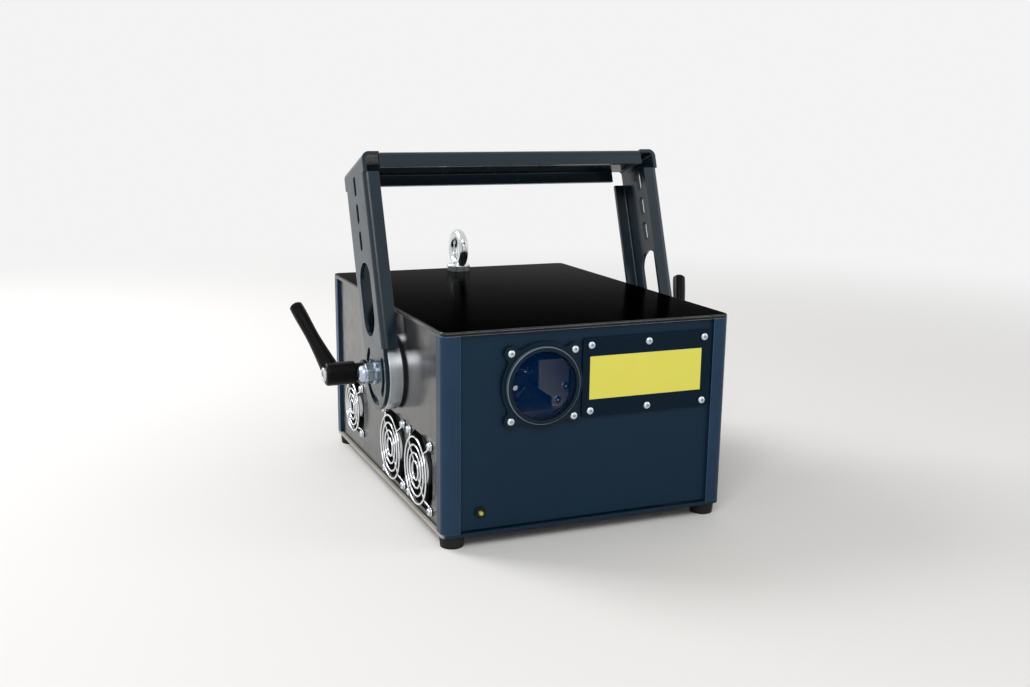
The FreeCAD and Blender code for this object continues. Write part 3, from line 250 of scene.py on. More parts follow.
metals = {
    "zincPlate": dict(colour=(0.62, 0.63, 0.6), rough=0.2, lines=500, lineStrength=0.03,
                      edge=0.0005, tint=(0.72, 0.76, 0.8), bloom=90),
    "blueZinc": dict(colour=(0.44, 0.51, 0.6), rough=0.26, lines=500, lineStrength=0.04,
                     edge=0.0005, tint=(0.58, 0.67, 0.78), bloom=120),
    "hubFoil": dict(colour=(0.6, 0.64, 0.67), rough=0.34, lines=300, lineStrength=0.04,
                    edge=0.0001),
    "turnedDisc": dict(colour=(0.68, 0.71, 0.74), rough=0.34, stretch=(5, 0.03, 0.03), lines=420,
                       lineStrength=0.05, edge=0.0006),
    "milledBlock": dict(colour=(0.5, 0.47, 0.43), rough=0.42, stretch=(0.1, 1, 1), lines=900),
    "guardWire": dict(colour=(0.8, 0.82, 0.84), rough=0.12, lines=300, lineStrength=0.02,
                      edge=0.0001),
    "springWire": dict(colour=(0.5, 0.5, 0.52), rough=0.3, lines=500),
    "switchChrome": dict(colour=(0.72, 0.72, 0.74), rough=0.12, lines=500, lineStrength=0.03),
    "socketShell": dict(colour=(0.62, 0.62, 0.6), rough=0.3, lines=700, lineStrength=0.05),
    "galvoCan": dict(colour=(0.05, 0.05, 0.055), rough=0.35, stretch=(1, 1, 0.1), lines=700),
    "mirrorFace": dict(colour=(0.85, 0.87, 0.9), rough=0.03, lines=200, lineStrength=0.01),
}
finishes = {name: coatFinish(name, look) for name, look in coats.items()}
finishes.update({name: metalFinish(name, look) for name, look in metals.items()})


# Anodised posts: dark metal, drawn lines down their length
def postFinish(name):
    look = {"colour": (0.0205, 0.046, 0.088), "cloudScale": 30, "cloudDetail": 3,
            "cloudShares": (0.85, 1.15), "stretch": (1, 1, 0.01), "lines": 1500,
            "wornFrom": (0.8, 0.99), "wornGain": 5, "edge": 0.0006, "metallic": 0.6,
            "specular": 0.2, "rough": (0.29, 0.45), "lineStrength": 0.12, "lineDepth": 0.00005}
    material, tree, shader = startMaterial(name)
    drawn = noise(tree, objectCoords(tree, look["stretch"]), look["lines"])
    tone = mottled(tree, objectCoords(tree), look)
    worn = edgeMask(tree, look["edge"], *look["wornFrom"])
    dress(tree, shader, Metallic=look["metallic"], Specular_IOR_Level=look["specular"],
          Base_Color=blend(tree, worn, tone, scaled(look["colour"], look["wornGain"])),
          Roughness=remap(tree, drawn, *look["rough"]),
          Normal=bump(tree, drawn, look["lineStrength"], look["lineDepth"], look["edge"]))
    return material


# Black anodised lid: smooth dark metal; along its bevel a pale grey in patches, partly bare metal
# and partly a painted highlight; duller on its rim
def lidFinish(name):
    look = {"colour": (0.014, 0.0185, 0.021), "cloudScale": 9, "cloudDetail": 3,
            "cloudShares": (0.9, 1.1), "paleTone": (0.5, 0.5, 0.49), "stretch": (1, 0.03, 1),
            "lines": 700, "bevelEdge": 0.0009, "bevelFrom": (0.84, 0.985), "patchScale": 45,
            "patchDetail": 4, "patchRough": 0.65, "patch": (0.45, 1.0), "patchFrom": (0.35, 0.6),
            "topFrom": (0.5, 0.9), "tint": (0.05, 0.05, 0.05, 1), "rough": (0.14, 0.19),
            "lineStrength": 0.02, "lineDepth": 0.00002, "edge": 0.0008}
    material, tree, shader = startMaterial(name)
    coords = objectCoords(tree)
    brushed = noise(tree, objectCoords(tree, look["stretch"]), look["lines"])
    patches = noise(tree, coords, look["patchScale"], look["patchDetail"], look["patchRough"])
    # Painted highlight: the bevel's pale grey stands in for the light its chamfer would catch
    mask = sums(tree, "MULTIPLY", edgeMask(tree, look["bevelEdge"], *look["bevelFrom"]),
                remap(tree, patches, *look["patch"], *look["patchFrom"]))
    upward = axes(tree, faceNormal(tree))["Z"]
    dress(tree, shader, Base_Color=blend(tree, mask, mottled(tree, coords, look), look["paleTone"]),
          Metallic=remap(tree, upward, 0.0, 1.0, *look["topFrom"]), Specular_Tint=look["tint"],
          Roughness=remap(tree, brushed, *look["rough"]),
          Normal=bump(tree, brushed, look["lineStrength"], look["lineDepth"], look["edge"]))
    return material


# Base plate: coated like the front, with a painted reflection: its side faces beside the side
# panels are pale, streaked
def baseFinish(name):
    look = {"colour": (0.0034, 0.0185, 0.038), "cloudScale": 22, "cloudDetail": 4,
            "cloudShares": (0.88, 1.12), "paleTone": (0.42, 0.4, 0.35), "fade": 0.0001,
            "frontFrom": (0.5, 0.8), "stretch": (1, 0.1, 1), "streakScale": 240, "streakDetail": 4,
            "streak": (0.7, 1.0), "smearScale": 70, "rough": (0.31, 0.42), "specular": 0.2,
            "grain": 2600, "grainDetail": 2, "grainStrength": 0.2, "grainDepth": 0.00005,
            "edge": 0.0006}
    material, tree, shader = startMaterial(name)
    coords = objectCoords(tree)
    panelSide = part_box("right_panel")[1].x
    beside = sums(tree, "ABSOLUTE", axes(tree, coords)["X"])
    ahead = sums(tree, "ABSOLUTE", axes(tree, faceNormal(tree))["Y"])
    # Painted reflection: pale colour on the side faces stands in for the bright surroundings they
    # would mirror
    ledge = sums(tree, "MULTIPLY",
                 remap(tree, beside, 0.0, 1.0, panelSide - look["fade"], panelSide),
                 remap(tree, ahead, 1.0, 0.0, *look["frontFrom"]))
    streaks = noise(tree, objectCoords(tree, look["stretch"]), look["streakScale"],
                    look["streakDetail"])
    mask = sums(tree, "MULTIPLY", ledge, remap(tree, streaks, *look["streak"]))
    dress(tree, shader, Base_Color=blend(tree, mask, mottled(tree, coords, look), look["paleTone"]),
          Roughness=remap(tree, noise(tree, coords, look["smearScale"]), *look["rough"]),
          Specular_IOR_Level=look["specular"], Normal=grained(tree, coords, look))
    return material


# Turned bezel: dark coat, with a painted highlight: a pale bluish band on the bevel of its ring
def bezelFinish(name):
    look = {"colour": (0.0018, 0.0105, 0.021), "cloudScale": 40, "cloudDetail": 3,
            "cloudShares": (0.85, 1.15), "paleTone": (0.22, 0.31, 0.42),
            "ring": (0.0278, 0.0282, 0.0286), "smearScale": 90, "rough": (0.31, 0.42),
            "specular": 0.16, "grain": 2600, "grainDetail": 2, "grainStrength": 0.2,
            "grainDepth": 0.00005, "edge": 0.0005}
    material, tree, shader = startMaterial(name)
    coords = objectCoords(tree)
    middle = [(a + b) / 2 for a, b in zip(*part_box("window_glass"))]
    away = vectorLength(tree, objectCoords(tree, (1, 0, 1), (-middle[0], 0, -middle[2])))
    inner, crest, outer = look["ring"]
    # Painted highlight: a band of pale bluish colour round the glass
    mask = sums(tree, "MULTIPLY", remap(tree, away, 0.0, 1.0, inner, crest),
                remap(tree, away, 1.0, 0.0, crest, outer))
    dress(tree, shader, Base_Color=blend(tree, mask, mottled(tree, coords, look), look["paleTone"]),
          Roughness=remap(tree, noise(tree, coords, look["smearScale"]), *look["rough"]),
          Specular_IOR_Level=look["specular"], Normal=grained(tree, coords, look))
    return material


# Scanner block: black behind, its front face milled bare, with painted highlights along its edges
def scannerFinish(name):
    look = {"colour": (0.012, 0.014, 0.017), "paleTone": (0.36, 0.335, 0.28),
            "bareShares": (0.85, 1.1), "bright": (0.9, 0.9, 0.86), "edge": 0.0008,
            "brightFrom": (0.8, 0.99), "skin": (0.001, 0.004), "stretch": (0.1, 1, 1),
            "lines": 900, "rough": (0.42, 0.6)}
    material, tree, shader = startMaterial(name)
    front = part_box("scanner_block")[0].y
    near = remap(tree, axes(tree, objectCoords(tree))["Y"], 1.0, 0.0,
                 *(front + depth for depth in look["skin"]))
    milled = noise(tree, objectCoords(tree, look["stretch"]), look["lines"])
    paleTone = blend(tree, milled, *(scaled(look["paleTone"], share) for share in look["bareShares"]))
    # Painted highlights: near-white colour along the front face's edges
    lined = blend(tree, edgeMask(tree, look["edge"], *look["brightFrom"]), paleTone, look["bright"])
    dress(tree, shader, Base_Color=blend(tree, near, look["colour"], lined),
          Roughness=remap(tree, milled, *look["rough"]))
    return material


# Plated screws: bright heads, with painted shade: the hexagon socket coloured darker
def screwFinish(name):
    look = {"colour": (0.67, 0.74, 0.79), "cloudScale": 120, "cloudDetail": 3,
            "cloudShares": (0.9, 1.05), "socket": (0.34, 0.42, 0.5), "smearScale": 600,
            "rough": (0.24, 0.38)}
    material, tree, shader = startMaterial(name)
    coords = objectCoords(tree)
    sunk = addNode(tree, "ShaderNodeAttribute", {"attribute_name": "sunk"}).outputs["Fac"]
    # Painted shade: the socket's faces take the darker socket colour
    dress(tree, shader, Metallic=1.0,
          Base_Color=blend(tree, sunk, mottled(tree, coords, look), look["socket"]),
          Roughness=remap(tree, noise(tree, coords, look["smearScale"]), *look["rough"]))
    return material


# Coated window: a blue veil that lets the scanner show through
def windowFinish(name):
    look = {"deep": (0.0005, 0.032, 0.14), "pale": (0.0007, 0.043, 0.18), "cloudScale": 35,
            "smudgeScale": 90, "smudgeDetail": 5, "smudgeRough": 0.7, "smudgeFrom": (0.45, 0.75),
            "rough": (0.02, 0.09), "alpha": 0.15, "specular": 0.04}
    material, tree, shader = startMaterial(name)
    coords = objectCoords(tree)
    cloud = noise(tree, coords, look["cloudScale"])
    smudge = noise(tree, coords, look["smudgeScale"], look["smudgeDetail"], look["smudgeRough"])
    dress(tree, shader, Base_Color=blend(tree, cloud, look["deep"], look["pale"]),
          Roughness=remap(tree, smudge, *look["rough"], *look["smudgeFrom"]),
          Alpha=look["alpha"], Specular_IOR_Level=look["specular"])
    return material


# Blank label film, faintly mottled, with a rubbed rim
def labelFinish(name):
    look = {"deep": (0.74, 0.69, 0.085), "pale": (0.79, 0.74, 0.105), "rim": (0.82, 0.79, 0.3),
            "cloudScale": 40, "cloudDetail": 4, "rimEdge": 0.0008, "rimFrom": (0.75, 0.99),
            "smearScale": 120, "rough": (0.3, 0.45), "grain": 900, "grainDetail": 2,
            "grainStrength": 0.08, "grainDepth": 0.00005}
    material, tree, shader = startMaterial(name)
    coords = objectCoords(tree)
    cloud = noise(tree, coords, look["cloudScale"], look["cloudDetail"])
    tone = blend(tree, cloud, look["deep"], look["pale"])
    rubbed = edgeMask(tree, look["rimEdge"], *look["rimFrom"])
    dress(tree, shader, Base_Color=blend(tree, rubbed, tone, look["rim"]),
          Roughness=remap(tree, noise(tree, coords, look["smearScale"]), *look["rough"]),
          Normal=grained(tree, coords, look))
    return material


# Yellow-green lamp lens, slightly clear
def lampFinish(name):
    look = {"deep": (0.42, 0.42, 0.07), "pale": (0.6, 0.62, 0.15), "cloudScale": 500,
            "smearScale": 300, "detail": 2, "rough": (0.1, 0.22), "clear": 0.25, "coat": 0.5}
    material, tree, shader = startMaterial(name)
    coords = objectCoords(tree)
    cloud = noise(tree, coords, look["cloudScale"], look["detail"])
    smear = noise(tree, coords, look["smearScale"], look["detail"])
    dress(tree, shader, Base_Color=blend(tree, cloud, look["deep"], look["pale"]),
          Roughness=remap(tree, smear, *look["rough"]),
          Transmission_Weight=look["clear"], Coat_Weight=look["coat"])
    return material


# Green circuit board with paler tracks
def boardFinish(name):
    look = {"board": (0.012, 0.07, 0.03), "track": (0.05, 0.2, 0.08), "cells": 160,
            "trackFrom": (0.02, 0.06), "smearScale": 200, "smearDetail": 2, "rough": (0.3, 0.5),
            "trackStrength": 0.2, "trackHeight": 0.0001}
    material, tree, shader = startMaterial(name)
    coords = objectCoords(tree)
    cells = addNode(tree, "ShaderNodeTexVoronoi",
                    {"feature": "DISTANCE_TO_EDGE", "distance": "CHEBYCHEV"},
                    Vector=coords, Scale=look["cells"])
    tracks = remap(tree, cells.outputs["Distance"], 1.0, 0.0, *look["trackFrom"])
    smear = noise(tree, coords, look["smearScale"], look["smearDetail"])
    dress(tree, shader, Base_Color=blend(tree, tracks, look["board"], look["track"]),
          Roughness=remap(tree, smear, *look["rough"]),
          Normal=bump(tree, tracks, look["trackStrength"], look["trackHeight"]))
    return material


makers = {"drawnPost": postFinish, "anodisedLid": lidFinish, "baseSideSheen": baseFinish,
          "turnedBezel": bezelFinish, "milledScanner": scannerFinish, "screwSteel": screwFinish,
          "coatedWindow": windowFinish, "labelFilm": labelFinish, "lampLens": lampFinish,
          "circuitBoard": boardFinish}
finishes.update({name: make(name) for name, make in makers.items()})
print("finishes made:", len(finishes))

wears = {
    "frontCoat": ["front_panel", "rear_panel"],
    "plateCoat": ["cover_plate"],
    "turnedBezel": ["window_bezel"],
    "sideCoat": ["left_panel", "right_panel"],
    "baseSideSheen": ["base_plate"],
    "anodisedLid": ["top_cover"],
    "drawnPost": ["corner_posts"],
    "yokeCoat": ["yoke"],
    "leverCoat": ["lever_left", "lever_right"],
    "blackRubber": ["rubber_feet", "window_gasket", "friction_rings"],
    "zincPlate": ["eye_bolt", "eye_bolt_nut", "clamp_stud_left", "clamp_stud_right", "tie_rods",
                  "lever_screw_left", "lever_screw_right"],
    "blueZinc": ["pivot_nuts", "pivot_washers", "pivot_studs", "lever_washers"],
    "screwSteel": ["bezel_screws", "cover_screws", "fan_screws", "rear_screws", "scanner_screws"],
    "turnedDisc": ["pivot_discs", "pivot_blocks"],
    "milledScanner": ["scanner_block"],
    "milledBlock": ["optics_plate", "optics_pillars", "mirror_mounts"],
    "springWire": ["lever_spring_left", "lever_spring_right"],
    "guardWire": ["fan_guards"],
    "fanPlastic": ["fan_frames", "fan_rotor_front", "fan_rotor_middle", "fan_rotor_rear"],
    "coatedWindow": ["window_glass"],
    "labelFilm": ["blank_label"],
    "lampCollar": ["led_holder"],
    "lampLens": ["status_led"],
    "galvoCan": ["galvo_motors"],
    "mirrorFace": ["galvo_x_mirror", "galvo_y_mirror"],
    "laserHousing": ["laser_modules"],
    "supplyCase": ["power_supply"],
    "circuitBoard": ["driver_boards"],
    "mouldedPlastic": ["mains_inlet", "interlock_socket"],
    "rockerPlastic": ["power_rocker"],
    "switchChrome": ["key_switch", "key_barrel"],
    "socketShell": ["signal_sockets"],
}
for finish, names in wears.items():
    for name in names:
        nodes[name].data.materials.clear()
        nodes[name].data.materials.append(finishes[finish])
print("nodes dressed:", sum(len(names) for names in wears.values()))


# Mesh helpers

def linkPiece(name, mesh, finish, body, hides):
    mesh.materials.clear()
    mesh.materials.append(finishes[finish])
    piece = bpy.data.objects.new(name, mesh)
    bpy.context.scene.collection.objects.link(piece)
    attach(piece, body)
    if hides:
        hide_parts(*hides)
    return piece


# Faces that meet at more than the sharp angle, in degrees, keep a hard edge
def finishMesh(bm, name, sharp=35):
    bmesh.ops.recalc_face_normals(bm, faces=bm.faces)
    mesh = bpy.data.meshes.new(name)
    bm.to_mesh(mesh)
    bm.free()
    mesh.polygons.foreach_set("use_smooth", [True] * len(mesh.polygons))
    mesh.set_sharp_from_angle(angle=math.radians(sharp))
    return mesh


def joined(name, meshes, sharp):
    bm = bmesh.new()
    for mesh in meshes:
        bm.from_mesh(mesh)
    return finishMesh(bm, name, sharp)


# Turned shape about Z from (radius, height) stations; a radius may be a function of the angle
def turned(name, stations, count, sunkFrom=None):
    bm = bmesh.new()
    rows = []
    sunk = bm.verts.layers.float.new("sunk") if sunkFrom is not None else None
    for radius, height in stations:
        if radius == 0:
            rows.append([bm.verts.new((0, 0, height))])
            continue
        row = []
        for k in range(count):
            angle = 2 * math.pi * k / count
            here = radius(angle) if callable(radius) else radius
            row.append(bm.verts.new((here * math.cos(angle), here * math.sin(angle), height)))
        rows.append(row)
    for low, high in zip(rows, rows[1:]):
        for k in range(count):
            ring = [low[k % len(low)], low[(k + 1) % len(low)],
                    high[(k + 1) % len(high)], high[k % len(high)]]
            bm.faces.new(list(dict.fromkeys(ring)))
    for row in rows[sunkFrom:] if sunkFrom is not None else []:
        for vert in row:
            vert[sunk] = 1.0
    return finishMesh(bm, name)


def evaluated(maker):
    bpy.context.scene.collection.objects.link(maker)
    graph = bpy.context.evaluated_depsgraph_get()
    mesh = bpy.data.meshes.new_from_object(maker.evaluated_get(graph), depsgraph=graph)
    bpy.data.objects.remove(maker)
    return mesh


# Geometry Nodes helpers

def startTree(name, inputs):
    tree = bpy.data.node_groups.new(name, "GeometryNodeTree")
    tree.is_modifier = True
    tree.interface.new_socket("Geometry", in_out="INPUT", socket_type="NodeSocketGeometry")
    for label, kind in inputs.items():
        tree.interface.new_socket(label, in_out="INPUT", socket_type="NodeSocket" + kind)
    tree.interface.new_socket("Geometry", in_out="OUTPUT", socket_type="NodeSocketGeometry")
    given = tree.nodes.new("NodeGroupInput").outputs
    return tree, given, tree.nodes.new("NodeGroupOutput").inputs


def endTree(tree, geometry, finish, result):
    real = addNode(tree, "GeometryNodeRealizeInstances", Geometry=geometry)
    dressed = addNode(tree, "GeometryNodeSetMaterial", Geometry=real.outputs[0], Material=finish)
    tree.links.new(dressed.outputs[0], result["Geometry"])
    return tree


def runTree(tree, seed, values):
    source = bpy.data.objects.new(tree.name + "Seed", seed or bpy.data.meshes.new("seed"))
    modifier = source.modifiers.new("nodes", "NODES")
    modifier.node_group = tree
    for item in tree.interface.items_tree:
        if item.in_out == "INPUT" and item.name in values:
            modifier[item.identifier] = values[item.name]
    return evaluated(source)


def copyNumber(tree):
    return tree.nodes.new("GeometryNodeInputIndex").outputs[0]


def roundSection(tree, sides, radius):
    return addNode(tree, "GeometryNodeCurvePrimitiveCircle", Resolution=sides,
                   Radius=radius).outputs["Curve"]


# Copies on a flat grid of columns and rows
def gridTree():
    tree, given, result = startTree("screwGrid", {"Columns": "Int", "Rows": "Int", "Width": "Float",
                                                  "Height": "Float", "Finish": "Material"})
    grid = addNode(tree, "GeometryNodeMeshGrid", Size_X=given["Width"], Size_Y=given["Height"],
                   Vertices_X=given["Columns"], Vertices_Y=given["Rows"])
    copies = addNode(tree, "GeometryNodeInstanceOnPoints", Points=grid.outputs["Mesh"],
                     Instance=given["Geometry"])
    return endTree(tree, copies.outputs[0], given["Finish"], result)


# Copies turned about Z in equal steps
def roundTree():
    tree, given, result = startTree("roundCopies", {"Count": "Int", "Turn": "Float",
                                                    "Finish": "Material"})
    spots = addNode(tree, "GeometryNodePoints", Count=given["Count"])
    step = sums(tree, "DIVIDE", 2 * math.pi, given["Count"])
    angle = sums(tree, "ADD", sums(tree, "MULTIPLY", copyNumber(tree), step), given["Turn"])
    euler = addNode(tree, "ShaderNodeCombineXYZ", Z=angle)
    spin = addNode(tree, "FunctionNodeEulerToRotation", Euler=euler.outputs[0])
    copies = addNode(tree, "GeometryNodeInstanceOnPoints", Points=spots.outputs[0],
                     Instance=given["Geometry"], Rotation=spin.outputs[0])
    return endTree(tree, copies.outputs[0], given["Finish"], result)


wireSteps = {"ring": 72, "ringSection": 12, "coil": 36, "coilSection": 10}


# Concentric wire rings, evenly stepped inwards
def ringTree():
    tree, given, result = startTree("guardRings", {"Count": "Int", "Outer": "Float",
                                                   "Step": "Float", "Height": "Float",
                                                   "Wire": "Float", "Finish": "Material"})
    lift = addNode(tree, "ShaderNodeCombineXYZ", Z=given["Height"])
    spots = addNode(tree, "GeometryNodePoints", Count=given["Count"], Position=lift.outputs[0])
    inwards = sums(tree, "MULTIPLY", copyNumber(tree), given["Step"])
    size = sums(tree, "SUBTRACT", given["Outer"], inwards)
    copies = addNode(tree, "GeometryNodeInstanceOnPoints", Points=spots.outputs[0],
                     Instance=roundSection(tree, wireSteps["ring"], 1.0), Scale=size)
    real = addNode(tree, "GeometryNodeRealizeInstances", Geometry=copies.outputs[0])
    even = addNode(tree, "GeometryNodeSetCurveRadius", Curve=real.outputs[0], Radius=1.0)
    section = roundSection(tree, wireSteps["ringSection"], given["Wire"])
    solid = addNode(tree, "GeometryNodeCurveToMesh", Curve=even.outputs[0], Profile_Curve=section)
    return endTree(tree, solid.outputs[0], given["Finish"], result)


# A coil along Z with closed wire ends
def coilTree():
    tree, given, result = startTree("springCoil", {"Turns": "Float", "Radius": "Float",
                                                   "Length": "Float", "Wire": "Float",
                                                   "Finish": "Material"})
    path = addNode(tree, "GeometryNodeCurveSpiral", Resolution=wireSteps["coil"],
                   Rotations=given["Turns"], Start_Radius=given["Radius"],
                   End_Radius=given["Radius"], Height=given["Length"])
    section = roundSection(tree, wireSteps["coilSection"], given["Wire"])
    solid = addNode(tree, "GeometryNodeCurveToMesh", Curve=path.outputs[0], Profile_Curve=section,
                    Fill_Caps=True)
    return endTree(tree, solid.outputs[0], given["Finish"], result)


screwGrid, roundCopies, guardRings, springCoil = gridTree(), roundTree(), ringTree(), coilTree()
print("node trees built")


def middleOf(name):
    low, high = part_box(name)
    return (Vector(low) + Vector(high)) / 2


quarterTurn = math.radians(90)
facing = {"front": Matrix.Rotation(quarterTurn, 4, "X"),
          "left": Matrix.Rotation(-quarterTurn, 4, "Y"),
          "right": Matrix.Rotation(quarterTurn, 4, "Y")}

# Frame sides, and how much closer together the screws sit
fans = {"front": 0.06, "middle": 0.06, "rear": 0.05}
fanScrewInset = 0.01
fanMiddles = {joint["name"].split("_")[1]: Vector(joint["pos_m"]) for joint in frame["joints"]
              if joint["name"].startswith("fan_")}


# Button-head screws with a hexagon socket; shares of the head's radius and height
screws = {"headRadius": 0.0029, "headHeight": 0.0018, "shankRadius": 0.0015, "socketFlat": 0.0020,
          "socketDepth": 0.0011, "sides": 36, "sharp": 50, "rimShare": 0.62, "mouthShare": 0.97,
          "dipShare": 0.25,
          "headShares": ((0.97, 0), (1, 0.06), (0.99, 0.32), (0.93, 0.58), (0.82, 0.78),
                         (0.66, 0.93), (0.5, 0.985))}
bezelSet = {"length": 0.007, "width": 0.0494, "height": 0.0494}
coverSet = {"length": 0.007, "width": 0.0942, "height": 0.049}
fanSet = {"length": 0.009}


def hexagon(angle):
    flat, corner = math.pi / 3, math.pi / 6
    return screws["socketFlat"] / 2 / math.cos((angle + corner) % flat - corner)


def screwMesh(length):
    radius, height, shank = (screws[key] for key in ("headRadius", "headHeight", "shankRadius"))
    floor = height - screws["socketDepth"]
    outside = [(0, -length), (shank, -length), (shank, 0)]
    outside += [(radius * across, height * up) for across, up in screws["headShares"]]
    outside.append((screws["socketFlat"] * screws["rimShare"], height))
    socket = [(hexagon, height * screws["mouthShare"]), (hexagon, floor),
              (0, floor - screws["socketDepth"] * screws["dipShare"])]
    return turned("buttonScrew", outside + socket, screws["sides"], sunkFrom=len(outside))


def placeScrews(name, node, length, grids):
    meshes = []
    for columns, rows, width, height, place, side in grids:
        values = {"Columns": columns, "Rows": rows, "Width": width, "Height": height,
                  "Finish": finishes["screwSteel"]}
        mesh = runTree(screwGrid, screwMesh(length), values)
        mesh.transform(Matrix.Translation(place) @ facing[side])
        meshes.append(mesh)
    mesh = joined(name, meshes, screws["sharp"])
    return linkPiece(name, mesh, "screwSteel", "case", [node])


def placeFrontScrews(name, node, columns, rows, group):
    middle = middleOf(node)
    place = (middle.x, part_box(node)[0][1] + screws["headHeight"], middle.z)
    placeScrews(name, node, group["length"],
                [(columns, rows, group["width"], group["height"], place, "front")])


def placeFanScrews():
    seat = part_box("fan_screws")[0][0] + screws["headHeight"]
    grids = []
    for name, side in fans.items():
        spacing = side - fanScrewInset
        place = (seat, fanMiddles[name].y, fanMiddles[name].z)
        grids.append((2, 2, spacing, spacing, place, "left"))
    placeScrews("fanScrews", "fan_screws", fanSet["length"], grids)


placeFrontScrews("bezelScrews", "bezel_screws", 2, 2, bezelSet)
placeFrontScrews("coverScrews", "cover_screws", 3, 2, coverSet)
placeFanScrews()
print("screws set: bezel, cover plate, fans")


# Fan rotors: a cupped hub with a blank foil disc, and seven swept, cambered blades
rotor = {"blades": 7, "firstBlade": 0.2, "hubShare": 0.42, "hubSides": 48, "sharp": 40,
         "frontGap": 0.0006, "backEnd": 0.0164, "bore": 0.00158, "boreFrom": 0.0024,
         "backChamfer": (0.001, 0.0008), "frontRound": ((0, 0.0016), (0.0004, 0.0007), (0.0013, 0)),
         "cupShares": (0.92, 0.9), "cupDepth": 0.0005}
blade = {"tipGap": 0.0032, "rootSink": 0.0006, "rootChord": 0.0125, "tipChord": 0.0155,
         "rootPitch": 48, "tipPitch": 34, "camber": 0.0014, "thick": 0.0012, "thinShare": 0.75,
         "sweep": 0.1, "steps": 8, "cuts": 8, "sharp": 45}
foilDisc = {"hubShare": 0.86, "rim": 0.0003, "shoulderShare": 0.97, "shoulder": 0.00025,
            "crown": 0.00022}


def bladeRow(bm, hub, tip, t, face):
    reach = hub - blade["rootSink"] + (tip - hub + blade["rootSink"]) * t
    chord = blade["rootChord"] + (blade["tipChord"] - blade["rootChord"]) * t
    pitch = math.radians(blade["rootPitch"] + (blade["tipPitch"] - blade["rootPitch"]) * t)
    row = []
    for k in range(blade["cuts"] + 1):
        u = k / blade["cuts"] - 0.5
        thin = 1 - blade["thinShare"] * abs(2 * u) ** 3
        across = blade["camber"] * (1 - 4 * u * u) + face * blade["thick"] / 2 * thin
        along = u * chord
        x = along * math.sin(pitch) + across * math.cos(pitch)
        z = along * math.cos(pitch) - across * math.sin(pitch)
        z -= (rotor["frontGap"] + rotor["backEnd"]) / 2
        turn = x / reach + blade["sweep"] * t * t
        row.append(bm.verts.new((reach * math.cos(turn), reach * math.sin(turn), z)))
    return row


def bladeMesh(hub, tip):
    bm = bmesh.new()
    steps, cuts = blade["steps"], blade["cuts"]
    top, low = ([bladeRow(bm, hub, tip, i / steps, face) for i in range(steps + 1)]
                for face in (1, -1))
    for i in range(steps):
        for k in range(cuts):
            bm.faces.new((top[i][k], top[i + 1][k], top[i + 1][k + 1], top[i][k + 1]))
            bm.faces.new((low[i][k + 1], low[i + 1][k + 1], low[i + 1][k], low[i][k]))
    for i in range(steps):
        bm.faces.new((top[i][0], low[i][0], low[i + 1][0], top[i + 1][0]))
        bm.faces.new((top[i + 1][cuts], low[i + 1][cuts], low[i][cuts], top[i][cuts]))
    for k in range(cuts):
        bm.faces.new((top[0][k + 1], low[0][k + 1], low[0][k], top[0][k]))
        bm.faces.new((top[steps][k], low[steps][k], low[steps][k + 1], top[steps][k + 1]))
    return finishMesh(bm, "blade", blade["sharp"])


def hubStations(hub, front, back):
    bore, boreFrom = rotor["bore"], -rotor["boreFrom"]
    inset, rise = rotor["backChamfer"]
    rim, cup = (hub * share for share in rotor["cupShares"])
    cupFloor = front - rotor["cupDepth"]
    stations = [(0, boreFrom), (bore, boreFrom), (bore, back), (hub - inset, back),
                (hub, back + rise)]
    stations += [(hub - inwards, front - down) for inwards, down in rotor["frontRound"]]
    return stations + [(rim, front), (cup, cupFloor), (0, cupFloor)]


def foilStations(hub, front):
    radius, seat = hub * foilDisc["hubShare"], front - rotor["cupDepth"]
    return [(0, seat), (radius, seat), (radius, front - foilDisc["rim"]),
            (radius * foilDisc["shoulderShare"], front - foilDisc["shoulder"]),
            (0, front - foilDisc["crown"])]


def makeRotor(name, side):
    hub = side * rotor["hubShare"] / 2
    tip = side / 2 - blade["tipGap"]
    front, back = -rotor["frontGap"], -rotor["backEnd"]
    values = {"Count": rotor["blades"], "Turn": rotor["firstBlade"],
              "Finish": finishes["fanPlastic"]}
    blades = runTree(roundCopies, bladeMesh(hub, tip), values)
    cup = turned("fanHub", hubStations(hub, front, back), rotor["hubSides"])
    mesh = joined("fanRotor_" + name, [cup, blades], rotor["sharp"])
    place = Vector((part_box("fan_frames")[0][0], fanMiddles[name].y, fanMiddles[name].z))
    mesh.transform(Matrix.Translation(place) @ facing["left"])
    linkPiece("fanRotor_" + name, mesh, "fanPlastic", "fan_" + name,
              ["fan_rotor_" + name])
    disc = turned("hubFoil_" + name, foilStations(hub, front), rotor["hubSides"])
    disc.transform(Matrix.Translation(place) @ facing["left"])
    linkPiece("hubFoil_" + name, disc, "hubFoil", "fan_" + name, [])


for name, side in fans.items():
    makeRotor(name, side)
print("rotors set:", len(fans))


# Wire finger guards: rings, four bent legs and the loops under the screws
guard = {"wire": 0.0008, "standoff": 0.0042, "weld": 0.0011, "outerShare": 0.425, "rings": 4,
         "stepShare": 0.24, "loop": 0.0027, "loopSteps": 24, "bendShare": 1.03, "bendLead": 0.001,
         "heelReach": 0.0007, "legs": 4, "roundness": 3, "sharp": 60}


def wireMesh(points, closed):
    curve = bpy.data.curves.new("leg", "CURVE")
    curve.dimensions = "3D"
    curve.bevel_depth = guard["wire"]
    curve.bevel_resolution = guard["roundness"]
    curve.use_fill_caps = not closed
    spline = curve.splines.new("POLY")
    spline.points.add(len(points) - 1)
    for spot, place in zip(spline.points, points):
        spot.co = (*place, 1)
    spline.use_cyclic_u = closed
    return evaluated(bpy.data.objects.new("leg", curve))


